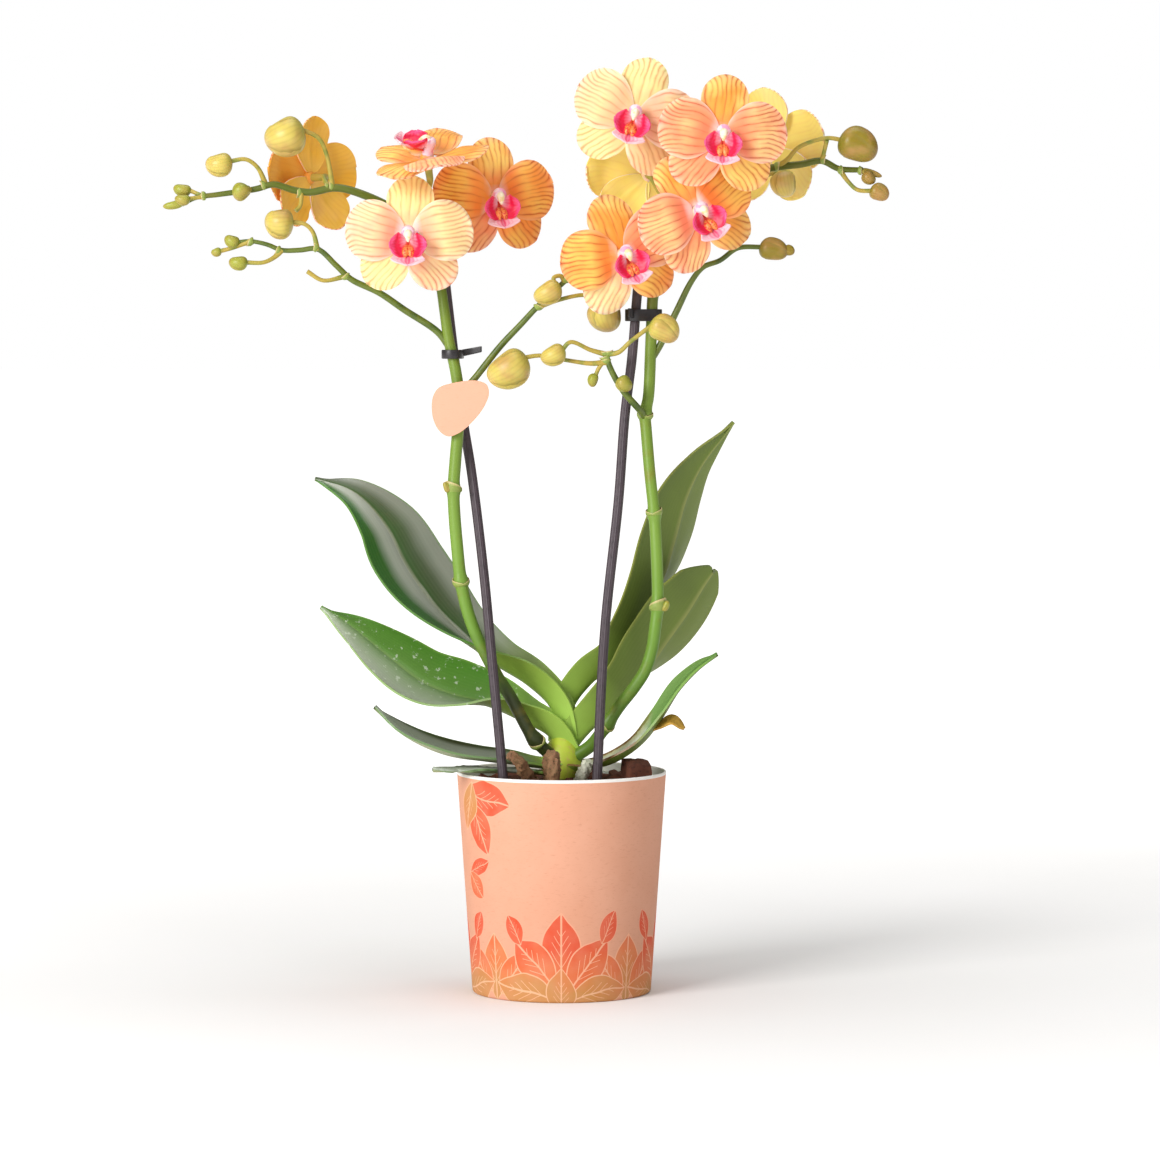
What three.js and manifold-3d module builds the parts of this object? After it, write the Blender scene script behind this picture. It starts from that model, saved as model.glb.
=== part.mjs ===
import * as THREE from 'three';
import { mergeVertices } from 'three/addons/utils/BufferGeometryUtils.js';
import Module from 'manifold-3d';

const wasm = await Module();
wasm.setup();

// A moth orchid with two flower spikes in a 9 cm pot. Millimetres, +Z up. The origin is the middle
// of the pot's flat underside and the front faces -Y.

const touch = 0.3; // room between two pieces that rest against each other
const weld = 0.08; // points closer together than this are one point

const pot = { height: 100, topRadius: 47.2, baseRadius: 40.3, wall: 1.2, floor: 2.4, sides: 38 };
const liner = { height: 96, wall: 0.8, topRadius: 44.2, baseRadius: 37, lipRadius: 45.4, sides: 24 };
const bark = { top: 93, room: 0.4, sides: 24, chips: 10, chip: [16, 12, 6], seed: 7 };
const stem = { foot: 96, top: 115, radius: 8, sides: 10 };
const stickRadius = 2.25;
const clip = { room: 0.75, wall: 1.3, leftHeight: 4, rightHeight: 5.4 };
const tag = { thickness: 0.8, front: -13, tilt: -9, x: -45.2, z: 263.5 };
const tagRing = { x: -46.2, y: -6.6, z: 256.5, inner: 3.4, outer: 4.5, opening: 0.55, height: 5 };

const colours = {
  kraft: 0xf2bc97, clearPlastic: 0xe4e7e2, barkBrown: 0x4a2418, root: 0xb08a62, crown: 0xb5d84a,
  leaf: 0x3f7526, leafUnder: 0x6f7b38, stalk: 0x6e9a3f, stick: 0x4d4248, clip: 0x2a2628, card: 0xfbcba4,
  petal: 0xfcc88a, lip: 0xe91e6b,
};

const root = new THREE.Group();

// Basic helpers

function vector([x, y, z]) {
  return new THREE.Vector3(x, y, z);
}

function curveThrough(points) {
  return new THREE.CatmullRomCurve3(points.map(vector), false, 'centripetal');
}

// The value at s (0 to 1) of a list of numbers that stand at even steps.
function sample(values, s) {
  const place = s * (values.length - 1);
  const low = Math.min(Math.floor(place), values.length - 2);
  return THREE.MathUtils.lerp(values[low], values[low + 1], place - low);
}

function sampleVector(vectors, s) {
  return vector([0, 1, 2].map((axis) => sample(vectors.map((each) => each[axis]), s)));
}

function steps(count, from = 0, to = 1) {
  return Array.from({ length: count + 1 }, (_, i) => from + ((to - from) * i) / count);
}

// A seeded draw between 0 and 1.
function dice(seed) {
  let state = seed;
  return () => {
    state = (state * 16807) % 2147483647;
    return state / 2147483647;
  };
}

function meshGeometry(positions, index) {
  const geometry = new THREE.BufferGeometry();
  geometry.setAttribute('position', new THREE.Float32BufferAttribute(positions, 3));
  geometry.setIndex(index);
  return geometry;
}

function toSolid(geometry) {
  const bare = geometry.clone();
  bare.deleteAttribute('normal');
  bare.deleteAttribute('uv');
  const merged = mergeVertices(bare, 1e-4);
  return new wasm.Manifold(new wasm.Mesh({
    numProp: 3,
    vertProperties: new Float32Array(merged.getAttribute('position').array),
    triVerts: new Uint32Array(merged.index.array),
  }));
}

// Makes one of all points that lie closer together than weld, and drops the triangles this closes.
function welded(geometry) {
  const place = geometry.getAttribute('position');
  const points = steps(place.count - 1, 0, place.count - 1).map((i) => (
    new THREE.Vector3().fromBufferAttribute(place, i)
  ));
  const index = geometry.index.array;
  const twin = points.map((point, i) => {
    const near = points.findIndex((other, k) => k < i && other.distanceTo(point) < weld);
    return near < 0 ? i : near;
  });
  const corner = (i) => (twin[i] === i ? i : corner(twin[i]));
  const kept = [];
  for (let i = 0; i < index.length; i += 3) {
    const [a, b, c] = [corner(index[i]), corner(index[i + 1]), corner(index[i + 2])];
    if (a !== b && b !== c && c !== a) {
      kept.push(a, b, c);
    }
  }
  return meshGeometry(points.flatMap((point) => point.toArray()), kept);
}

// The largest body of a solid as a geometry, without loose scraps and sealed hollows.
function toGeometry(solid) {
  const bodies = solid.decompose();
  const largest = bodies.reduce((best, body) => (body.volume() > best.volume() ? body : best));
  const { vertProperties, triVerts } = largest.getMesh();
  return meshGeometry(Array.from(vertProperties), Array.from(triVerts));
}

// Joins geometries that run into each other.
function fuse(geometries) {
  return geometries.map(toSolid).reduce((whole, piece) => whole.add(piece));
}

function cut(solid, geometries) {
  return geometries.map(toSolid).reduce((whole, piece) => whole.subtract(piece), solid);
}

function add(name, geometry, color, roughness) {
  const material = new THREE.MeshStandardMaterial({ color, roughness, metalness: 0 });
  const mesh = new THREE.Mesh(geometry, material);
  mesh.name = name;
  root.add(mesh);
}

// Skins a row of closed rings, all with the same even number of points, and closes both ends. The
// far half of each ring is split into triangles the way its near half is.
function loft(rings) {
  const count = rings[0].length;
  const index = [];
  for (let i = 0; i + 1 < rings.length; i += 1) {
    for (let k = 0; k < count; k += 1) {
      const a = i * count + k;
      const b = i * count + ((k + 1) % count);
      if (k < count / 2) {
        index.push(a, b, b + count, a, b + count, a + count);
      } else {
        index.push(a, b, a + count, b, b + count, a + count);
      }
    }
  }
  const last = (rings.length - 1) * count;
  for (let k = 0; k + 1 < count / 2; k += 1) {
    index.push(k, count - 1 - k, count - 2 - k, k, count - 2 - k, k + 1);
    index.push(last + k, last + k + 1, last + count - 2 - k);
    index.push(last + k, last + count - 2 - k, last + count - 1 - k);
  }
  return meshGeometry(rings.flat().flatMap((point) => point.toArray()), index);
}

// A closed round rod along a curve, its radii given at even steps from its start to its end.
function rod(points, radii, sides, count) {
  const curve = curveThrough(points);
  const frames = curve.computeFrenetFrames(count, false);
  return loft(steps(count).map((s, i) => {
    const centre = curve.getPointAt(s);
    const radius = sample(radii, s);
    return Array.from({ length: sides }, (_, k) => {
      const angle = (2 * Math.PI * k) / sides;
      return centre.clone()
        .addScaledVector(frames.normals[i], Math.cos(angle) * radius)
        .addScaledVector(frames.binormals[i], Math.sin(angle) * radius);
    });
  }));
}

// A thin blade whose middle sheet is surface(s, t), with s along it and t from -1 to 1 across it.
// It is thickest in the middle and thinnest at its two long edges.
function blade(surface, [middle, edge], along, across) {
  const nudge = 1e-3;
  const faceAt = (s, t, side) => {
    const s0 = Math.max(s - nudge, 0);
    const s1 = Math.min(s + nudge, 1);
    const ds = surface(s1, t).sub(surface(s0, t));
    const dt = surface(s, Math.min(t + nudge, 1)).sub(surface(s, Math.max(t - nudge, -1)));
    const normal = dt.cross(ds).normalize();
    const thickness = THREE.MathUtils.lerp(middle, edge, Math.abs(t));
    return surface(s, t).addScaledVector(normal, (side * thickness) / 2);
  };
  const back = [...across].reverse();
  return loft(along.map((s) => [
    ...across.map((t) => faceAt(s, t, 1)),
    ...back.map((t) => faceAt(s, t, -1)),
  ]));
}

// The middle sheet of a leaf or lobe: a midrib through points, half widths and fold angles (degrees)
// at even steps along it, and the way its upper face looks at even steps along it.
function ribbonSurface({ path, half, fold, face }) {
  const curve = curveThrough(path);
  return (s, t) => {
    const along = curve.getTangent(s);
    const side = along.clone().cross(sampleVector(face, s)).normalize();
    const up = side.clone().cross(along);
    const width = sample(half, s);
    const angle = THREE.MathUtils.degToRad(sample(fold, s));
    return curve.getPoint(s)
      .addScaledVector(side, width * t * Math.cos(angle))
      .addScaledVector(up, width * Math.abs(t) ** 1.4 * Math.sin(angle));
  };
}

// A profile of [radius, z] points turned about the Z axis.
function turned(profile, sides) {
  const points = profile.map(([radius, z]) => new THREE.Vector2(radius, z));
  return new THREE.LatheGeometry(points, sides).rotateX(Math.PI / 2);
}

// Pot cover: a tapered paperboard sleeve with a rounded rim and a flat base

function coverRadius(z) {
  return THREE.MathUtils.lerp(pot.baseRadius, pot.topRadius, z / pot.height);
}

function makeCover() {
  const round = 0.4;
  const corner = 1.4;
  const inner = (z) => coverRadius(z) - pot.wall;
  const profile = [
    [0, 0], [pot.baseRadius - corner, 0], [coverRadius(corner), corner],
    [coverRadius(pot.height - round), pot.height - round], [pot.topRadius - round, pot.height],
    [inner(pot.height), pot.height], [inner(pot.floor), pot.floor], [0, pot.floor],
  ];
  add('pot_cover', turned(profile, pot.sides), colours.kraft, 0.75);
}

// Nursery pot: a thin clear cup that stands on the cover's floor, with a lip at its top

function makeLiner() {
  const { wall, topRadius, baseRadius, lipRadius, height, sides } = liner;
  const lipDrop = 1.4;
  const floor = pot.floor + wall;
  const profile = [
    [0, pot.floor], [baseRadius, pot.floor], [topRadius, height - lipDrop], [lipRadius, height - lipDrop],
    [lipRadius, height], [topRadius - wall, height], [baseRadius - wall, floor], [0, floor],
  ];
  add('nursery_pot', turned(profile, sides), colours.clearPlastic, 0.25);
}

// Sticks

const sticks = {
  left: [
    [-19, -24, 18], [-25, -27, 89], [-30.3, -20.5, 144], [-34.8, -11, 190], [-40.5, -1.5, 235],
    [-44, 1.2, 256], [-47.2, 2.8, 278], [-51.8, 4.5, 316], [-53, 5, 327],
  ],
  right: [
    [12.5, -28, 18], [16, -24, 100], [19.5, -19, 166], [25.5, -12, 222], [28.5, -6, 261],
    [31.5, -3, 285], [33.5, -2, 309], [34.5, -2, 322],
  ],
};

function stickRod(path, extra = 0) {
  return rod(path, [stickRadius + extra, stickRadius + extra], 6, 7);
}

// Roots: a short rootstock under the stem with roots that wander through the bark

const rootPaths = {
  surface: [
    [[0, 0, 86], [-9, -14, 92], [-16, -25, 101], [-19.5, -29.5, 107.5], [-23.5, -31, 110]],
    [[0, 0, 86], [-3, -12, 91], [-5, -21, 104], [-4, -25, 109], [-3.5, -28, 104], [-3.5, -29.5, 92]],
    [[0, 0, 86], [7, -11, 92], [10, -16, 101], [12.5, -18, 106]],
  ],
  deep: [
    [[0, 0, 88], [14, -10, 74], [24, -8, 52], [20, 10, 34], [2, 22, 22]],
    [[0, 0, 88], [-14, 10, 72], [-25, 4, 50], [-18, -10, 32], [0, -18, 20]],
  ],
};

const rootStock = { length: 14, topRadius: 7.5, baseRadius: 5, sides: 8 };
const rootRadii = [3, 3, 2.4];

function rootRods(extra = 0) {
  const { length, topRadius, baseRadius, sides } = rootStock;
  const top = stem.foot - touch;
  const profile = [
    [0, top - length - extra], [baseRadius + extra, top - length - extra],
    [topRadius + extra, top + extra], [0, top + extra],
  ];
  const radii = rootRadii.map((radius) => radius + extra);
  return [
    turned(profile, sides),
    ...rootPaths.surface.map((path) => rod(path, radii, 6, 5)),
    ...rootPaths.deep.map((path) => rod(path, radii, 4, 4)),
  ];
}

// Leaves: each grows out of the stem as a folded sheath, and its blade parts from the sheath at the
// share of its length that joint gives

const leaves = {
  leaf_upper_left: {
    path: [
      [0.5, 3, 112], [-4, 5, 128], [-15, 9, 139], [-29.5, 13, 148], [-44, 16, 159], [-58.5, 18, 174],
      [-71, 21, 191.5], [-80.5, 24, 209.5], [-94.5, 27, 224], [-112.5, 31, 230.5],
    ],
    half: [8, 10, 11.5, 13, 17, 21, 21, 17, 9, 1],
    fold: [72, 66, 60, 42, 25, 16, 12, 10, 8, 0],
    face: [[0.95, -0.1, 0.3], [0.6, -0.35, 0.7], [0.42, -0.68, 0.6], [0.4, -0.7, 0.6]],
    joint: 0.24, colour: colours.leaf,
  },
  leaf_tall_right: {
    path: [
      [1.5, 5, 112], [4.5, 9, 128], [13, 14, 139.5], [24.5, 18, 148.5], [35.5, 21, 165.5], [45, 23, 186],
      [50.5, 24, 204.5], [55.5, 24, 222.5], [63, 24, 237.5], [78, 24, 256.5],
    ],
    half: [8, 10, 11.5, 13, 18, 20, 19, 16, 10, 1.5],
    fold: [72, 66, 60, 45, 25, 16, 12, 10, 8, 0],
    face: [[-0.95, 0, 0.3], [-0.6, 0.2, 0.75], [-0.72, 0.6, 0.35], [-0.72, 0.62, 0.3]],
    joint: 0.24, colour: colours.leafUnder,
  },
  leaf_middle_left: {
    path: [
      [1, 0, 105], [-5, 0.5, 116], [-16.5, 3.5, 122.5], [-32, 5, 129.5], [-48, 5, 133.5], [-63, 6, 139.5],
      [-77.5, 8, 150], [-93.5, 10, 162.5], [-109, 12, 173],
    ],
    half: [9, 10, 11, 16, 19, 18, 15, 9, 1],
    fold: [72, 66, 58, 35, 22, 14, 10, 8, 0],
    face: [[0.9, 0, 0.4], [0.45, -0.35, 0.8], [0.25, -0.66, 0.7], [0.3, -0.66, 0.68]],
    joint: 0.22, colour: colours.leaf,
  },
  leaf_broad_right: {
    path: [
      [3, 0, 106], [9.5, 2, 115], [18, 5, 124], [27, 9, 133], [35.5, 11, 142], [44.5, 12, 155],
      [55.5, 13, 170.5], [64, 13, 184], [69, 13, 191],
    ],
    half: [9, 11, 12.5, 15, 18, 20, 20, 14, 6],
    fold: [72, 66, 58, 42, 26, 16, 12, 8, 4],
    face: [[-0.9, 0.1, 0.4], [-0.6, 0.3, 0.7], [-0.58, 0.66, 0.46], [-0.57, 0.67, 0.46]],
    joint: 0.24, colour: colours.leafUnder,
  },
  leaf_lower_left: {
    path: [
      [-1, -3, 101], [-9, -6, 102.5], [-19, -9.5, 104.5], [-34, -13, 106.5], [-51.5, -18, 110],
      [-69, -24, 118.5], [-83, -28, 131],
    ],
    half: [6, 7, 8.5, 10, 11, 9, 1],
    fold: [40, 20, 18, 18, 16, 12, 0],
    face: [[0.5, 0, 0.85], [0.1, -0.2, 0.97], [0, -0.3, 0.95]],
    joint: 0.2, colour: colours.leaf,
  },
  leaf_torn_left: {
    path: [
      [-2, -5, 98.6], [-9, -9.5, 99.9], [-17, -14, 101.2], [-30, -19.5, 102], [-44, -24, 102.4],
      [-57, -28, 103.2],
    ],
    half: [3, 3.5, 4, 5, 6, 2],
    fold: [10, 6, 5, 5, 5, 0],
    face: [[0, -0.1, 1], [0, -0.15, 1]],
    joint: 0.22, colour: colours.leaf,
  },
  leaf_narrow_right: {
    path: [
      [4, -3, 100], [13, -6.5, 102], [24, -11, 106], [35, -15, 114], [44, -17, 125.5], [53, -18, 139.5],
      [61.5, -19, 148.5], [69.5, -20, 154],
    ],
    half: [6, 7, 8, 8, 7.5, 7, 5, 1],
    fold: [40, 22, 22, 22, 20, 15, 10, 0],
    face: [[-0.3, 0, 0.95], [-0.35, -0.15, 0.93], [-0.75, -0.25, 0.6], [-0.7, -0.3, 0.6]],
    joint: 0.16, colour: colours.leaf,
    strip: {
      path: [[40, -16, 120], [44, -18, 121.5], [49.5, -19, 124], [55, -19, 120.5]],
      half: [1.6, 2.2, 3.6, 1.4], fold: [0, 10, 15, 0], face: [[-0.5, -0.4, 0.8], [0.3, -0.5, 0.8]],
    },
  },
};

const leafParting = 0.5; // room between a leaf's blade and its sheath, along its midrib
const leafThickness = [2.2, 1];
const leafAcross = [-1, -0.6, 0, 0.6, 1];

function leafPiece(spec, from, to, count, across = leafAcross) {
  return blade(ribbonSurface(spec), leafThickness, steps(count, from, to), across);
}

function makeLeaves() {
  Object.entries(leaves).forEach(([name, spec]) => {
    const start = spec.joint + leafParting / curveThrough(spec.path).getLength();
    const pieces = [leafPiece(spec, start, 1, 8)];
    if (spec.strip) {
      pieces.push(leafPiece(spec.strip, 0, 1, 5, [-1, 0, 1]));
    }
    add(name, toGeometry(fuse(pieces)), spec.colour, 0.45);
  });
}

// Buds and pedicels

const budShape = [0.35, 0.92, 0.94, 0.3]; // radii at even steps from a bud's base to its tip
const smallBud = 3.2;
const knuckleSize = { half: 2.4, slope: 0.4 };

function bud([base, tip, radius]) {
  return rod([base, tip], budShape.map((share) => share * radius), radius < smallBud ? 4 : 6, 3);
}

// A swollen ring on a main stalk at the height where it first passes z.
function knuckle(path, z, radius) {
  const curve = curveThrough(path);
  const at = steps(300).find((s) => curve.getPointAt(s).z >= z);
  const centre = curve.getPointAt(at);
  const along = curve.getTangentAt(at).multiplyScalar(knuckleSize.half);
  const ends = [centre.clone().sub(along), centre, centre.clone().add(along)];
  const edge = radius - knuckleSize.slope;
  return rod(ends.map((point) => point.toArray()), [edge, radius, edge], 6, 2);
}

const spikes = {
  left: {
    main: [
      [-3.5, -3.5, 106.5], [-8, -8, 110.5], [-13.5, -10, 117], [-18.5, -11, 126], [-23, -12, 134.5],
      [-28.5, -12, 143], [-33.5, -12, 152.5], [-38, -11.5, 161.5], [-42, -11, 172.5], [-45, -10.5, 186],
      [-46.7, -10, 201.5], [-48, -9.5, 217.5], [-48.3, -9, 228], [-47.5, -8, 240], [-46.3, -7, 255],
      [-46, -6, 269], [-47.5, -5, 280.5], [-50.5, -3.5, 294], [-52.5, -3, 307.5], [-54, -2, 317.5],
      [-56.5, -1, 329.5], [-62, 0, 340], [-71, 1, 349], [-80, 1, 355], [-95, 0, 361], [-102, 0, 362],
      [-112.5, 0, 360], [-120, 0, 361], [-129, -1, 363.5], [-136.5, -1, 361.5], [-153.5, -1, 359],
      [-164, -1, 357.5], [-170, -1, 354.5],
    ],
    mainRadii: [2.9, 2.8, 2.8, 2.7, 2.6, 2.2, 1.9, 1.5, 1],
    knuckles: [[115, 3.7], [186, 3.5], [227, 3.4]],
    branches: [
      [[[-50.5, -3.5, 291], [-55.5, -3, 297.5], [-70.5, -4, 307.5], [-81.5, -5, 315], [-94, -6, 321],
        [-100.5, -7, 327], [-109, -7, 334.5], [-117, -7, 334], [-125, -7, 334], [-131.5, -7, 336.5],
        [-139, -7, 338], [-145.5, -7, 337.5]], 1.6, 1.5, 1.2, 0.9],
      [[[-46, -6, 266], [-43, -6, 272], [-39, -7, 276.5], [-27, -8, 291.5], [-18.5, -9, 300.5],
        [-11, -9, 308.5], [-4.5, -9, 314.5], [2, -8, 320.5], [8, -8, 325]], 1.6, 1.5, 1.3, 1.1],
    ],
    pedicels: [
      [[-102.5, 0, 362], [-105, -3, 376.5], [-108.5, -6, 384], [-117, -8, 388]],
      [[-132.5, 0, 363.5], [-136, -3, 371], [-141, -5, 374.5], [-148.5, -6, 373.5]],
      [[-139, -1, 361], [-141, -4, 362]],
      [[-160, -1, 358], [-167, 1, 361]],
      [[-160, -1, 358], [-167, -3.5, 357]],
      [[-109, -7, 334], [-111, -8, 342], [-114.5, -9, 345.5], [-121, -9, 346.5]],
      [[-116.5, 0, 360.5], [-117, -2, 354], [-119, -3, 351.5]],
      [[-125, -7, 334], [-128, -8, 331], [-133, -10, 328.5], [-141.5, -10, 328.5]],
      [[-96, -6, 322.5], [-106.5, -9, 320.5], [-113.5, -10, 324.5]],
      [[-139, -7, 338], [-147, -7, 335], [-153, -7, 333.5]],
      [[1.5, -8, 320], [-0.5, -10.5, 322.5], [-3.5, -12, 321.5], [-1.5, -12, 317]],
      [[-11, -9, 308.5], [-0.5, -9, 312], [10, -6, 314], [18, -1, 312]],
    ],
    buds: [
      [[-115, -8, 388.5], [-132, -8, 381.5], 9.2], [[-147, -6, 373.5], [-159, -6, 371.5], 5.6],
      [[-140.5, -4.5, 363], [-145.5, -5, 356.5], 4.2], [[-166, 1, 360.5], [-174, 1, 362], 3],
      [[-166, -4, 356.5], [-173, -4, 357], 2.6], [[-169, -1, 355.5], [-178.5, -1, 353.5], 2],
      [[-119.5, -9, 346.5], [-132.5, -9, 346.5], 7.2], [[-144, -7, 337], [-150.5, -7, 339.5], 3],
      [[-152, -7, 334], [-156.5, -7, 332.5], 2.1], [[-140, -10, 328.5], [-148.5, -10, 328.5], 3.4],
      [[-0.5, -12, 318.5], [-12, -12, 312], 5.4], [[18.5, 0, 312.5], [22, 0, 297.5], 8],
    ],
  },
  right: {
    main: [
      [6, -2, 106.5], [13, -4.5, 111.5], [19, -8, 119.5], [26, -11, 130], [32.5, -14, 138.5],
      [37.5, -15, 146.5], [40.5, -15, 156], [42, -15, 166], [43, -14, 175], [42.5, -12, 199.5],
      [41.5, -10, 216], [39.5, -7, 235.5], [38, -4, 253.5], [37.5, -3, 260.5], [39, -2, 268.5],
      [40, 0, 289.5], [40.5, 0, 303], [41, 0, 313.5], [43, 1, 325.5], [46, 2, 338], [51, 3, 350.5],
      [59, 3, 361], [69, 1, 367], [80.5, -1, 368.5], [87.5, -1, 369.5], [98.5, -1, 371.5],
      [107.5, -1, 372.5], [116.5, -1, 374], [124, -1, 370.5], [129.5, -1, 370], [135, -1, 370],
    ],
    mainRadii: [2.9, 2.8, 2.7, 2.6, 2.6, 2.5, 2.2, 1.8, 1.2],
    knuckles: [[122, 3.6], [175, 3.5], [216, 3.4], [261, 3.3], [316, 3]],
    branches: [
      [[[37.5, -3, 258.5], [35.5, -8, 262], [32, -12, 266], [28.5, -13, 270], [24, -14, 277],
        [21, -14, 283.5], [20, -14, 288]], 1.6, 1.5, 1.3],
      [[[40.3, 0, 285], [44.5, 1, 292], [51.5, 1, 306.5], [58.5, 0, 320.5], [63.5, 0, 326.5],
        [71, -1, 329.5], [79, -2, 335], [90, -2, 335.5]], 1.6, 1.5, 1.2, 1.1],
    ],
    pedicels: [
      [[20, -14, 284], [13, -14.5, 283.5], [2, -14.5, 285], [-9.5, -14, 287], [-17, -14, 286]],
      [[20, -14, 287.5], [13, -16, 289.5], [4, -19, 293], [0, -19, 289]],
      [[20, -14, 287.5], [25.5, -15.5, 288.5], [30.5, -17, 293], [41, -17, 301]],
      [[19, -14, 285], [16.5, -14, 281], [15, -14, 277.5]],
      [[26.5, -13.5, 273.5], [27, -15, 275], [27.5, -16, 276.5]],
      [[96, -1, 371], [101, -3, 374.5], [105.5, -5, 379.5], [112, -6, 382.5], [119, -6, 384],
        [126, -5, 383]],
      [[116.5, -1, 373.5], [117.5, -4, 378], [118.5, -6, 383]],
      [[85.5, -1, 369], [89, -5, 365.5], [93.5, -9, 368], [99, -10, 368]],
      [[124, -1, 371], [128.5, -2, 364.5], [132.5, -3, 361], [139.5, -3, 360.5]],
      [[133.5, -1, 370.5], [136.5, -2, 367.5]],
    ],
    buds: [
      [[-15.5, -14, 286.5], [-32.5, -14, 276], 8.8], [[1.5, -19, 290], [-9, -19, 285], 4.9],
      [[39.5, -17, 301.5], [52, -17, 295], 6.6], [[26, -15.5, 277.5], [30.5, -17, 271.5], 3.8],
      [[15, -14, 279], [13.5, -14, 273], 2.5], [[88.5, -2, 335], [101.5, -2, 333], 5.4],
      [[99.5, -2, 334], [104.5, -2, 333.5], 2.6], [[124, -5, 383.5], [141, -5, 377], 8.2],
      [[98.3, -10, 369.5], [101, -10, 357.5], 6.1], [[135.5, -2, 369], [140, -2, 364], 3.1],
      [[133.5, -1, 370], [143.5, -1, 367], 1.6], [[138, -3, 361], [146.5, -3, 358], 4.2],
    ],
  },
};

// Blooms: at is the middle of the bloom's hub, face the way it looks and up the way its upper sepal
// points. stalk is where its pedicel leaves the spike, with a point that it passes on its way

const blooms = {
  left_1: { spike: 'left', at: [-115, 26, 367.3], face: [-0.75, 0.65, 0], up: [0, 0, 1],
    stalk: [[-104, 0, 361.5], [-107, 8, 367]] },
  left_2: { spike: 'left', at: [-59.5, -22, 375.2], face: [-0.1, -0.35, 0.93], up: [1, 0, 0.1],
    stalk: [[-64, 0.5, 343], [-61, -6, 357]] },
  left_3: { spike: 'left', at: [-29.5, 4, 357.2], face: [0.3, -0.95, 0], up: [-0.1, 0, 1],
    stalk: [[-57, -1, 331], [-45, 12, 341]] },
  left_4: { spike: 'left', at: [-67.5, -28, 339.5], face: [0, -1, 0.05], up: [0, 0, 1],
    stalk: [[-71, 1, 349], [-72, -9, 344]] },
  right_1: { spike: 'right', at: [32.5, -10, 393.5], face: [0, -1, 0.05], up: [0.26, 0, 0.97],
    stalk: [[53, 3, 354], [44, 4, 372]] },
  right_2: { spike: 'right', at: [71, -38, 383.5], face: [0.03, -1, 0.05], up: [0.05, 0, 1],
    stalk: [[69, 1, 367], [72, -12, 376]] },
  right_3: { spike: 'right', at: [61, -22, 350.7], face: [0.3, -0.95, 0], up: [-0.47, 0, 0.88],
    stalk: [[46, 2, 338], [52, -4, 345]] },
  right_4: { spike: 'left', at: [27.5, -18, 331.6], face: [0.3, -0.95, 0], up: [-0.34, 0, 0.94],
    stalk: [[7, -8, 324.5], [16, -8, 329]] },
  right_5: { spike: 'right', at: [39, 16, 368.4], face: [-0.1, 0.99, 0.1], up: [0, 0, 1],
    stalk: [[51, 3, 350.5], [44, 5, 360]] },
  right_6: { spike: 'right', at: [94.5, 18, 380.3], face: [0.45, 0.88, 0.1], up: [0, 0, 1],
    stalk: [[87.5, -1, 369.5], [89, 5, 374]] },
};

const hub = { radius: 3.2, back: -3.2, front: 1.4 };
const sepal = {
  length: 24.5, half: 10.5, widest: 0.5, claw: 0.2, depth: -1.5, arch: 1.4, recurve: 5, cup: 1.6,
};
const petal = {
  length: 26, half: 14.5, widest: 0.56, claw: 0.16, depth: 0, arch: 2.6, recurve: 3, cup: 1.2,
};
const tepals = [
  { ...sepal, angle: 90 }, { ...sepal, angle: 232 }, { ...sepal, angle: 308 },
  { ...petal, angle: 8 }, { ...petal, angle: 172 },
];
const tepalThickness = [0.8, 0.7];
const tepalAlong = [0, 0.28, 0.58, 0.88, 1];
const tepalAcross = [-1, 0, 1];
const lipThickness = [0.9, 0.7];

const tepalRoot = 0.7; // how far a tepal starts inside the hub's radius
const tepalTip = 0.14; // least share of the half width at a tepal's round end

// Share of the full half width at s: a narrow claw, the widest place, then a round end.
function outline(s, widest, claw) {
  if (s < widest) {
    return claw + (1 - claw) * Math.sin((Math.PI / 2) * (s / widest)) ** 1.3;
  }
  const rest = (s - widest) / (1 - widest);
  return Math.max(Math.sqrt(1 - rest ** 2.2), tepalTip);
}

function tepalSurface({ length, half, widest, claw, depth, arch, recurve, cup, angle }) {
  const turn = THREE.MathUtils.degToRad(angle);
  return (s, t) => {
    const out = hub.radius - tepalRoot + length * s;
    const share = outline(s, widest, claw);
    const side = half * share * t;
    const lift = depth + arch * Math.sin(Math.PI * s) ** 2 - recurve * s * s - cup * share * t * t;
    return new THREE.Vector3(
      Math.cos(turn) * out - Math.sin(turn) * side,
      Math.sin(turn) * out + Math.cos(turn) * side,
      lift,
    );
  };
}

// The lip stands on the hub's front: the column, and from its foot two cupped side lobes, which hang
// beside it, and a broad middle lobe, which juts out below it.
function lipGeometries() {
  const seat = hub.front + touch;
  const columnPath = [[0, 0.3, seat], [0, 0.3, seat + 1.2], [0, 0.1, seat + 4.2], [0, -0.5, seat + 7]];
  const column = rod(columnPath, [2.4, 1.9], 6, 2);
  const middle = {
    path: [[0, -1, seat + 1.6], [0, -5.4, seat + 3.8], [0, -10.4, seat + 7], [0, -14.6, seat + 8.2]],
    half: [1.5, 3.2, 6.6, 1], fold: [0, 0], face: [[0, 0.6, 0.8], [0, 0.4, 0.9]],
  };
  const sideLobe = (turn) => ({
    path: [
      [turn * 1.1, -0.7, seat + 3.2], [turn * 4.4, -3.4, seat + 5.2], [turn * 8.1, -4, seat + 8],
    ],
    half: [0.8, 5.2, 2.8], fold: [0, 0], face: [[-turn * 0.5, 0, 0.85], [-turn * 0.75, 0, 0.65]],
  });
  const lobe = (spec, count, across) => blade(ribbonSurface(spec), lipThickness, steps(count), across);
  return [
    column, lobe(middle, 3, [-1, 1]), lobe(sideLobe(1), 2, [-1, 1]), lobe(sideLobe(-1), 2, [-1, 1]),
  ];
}

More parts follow.
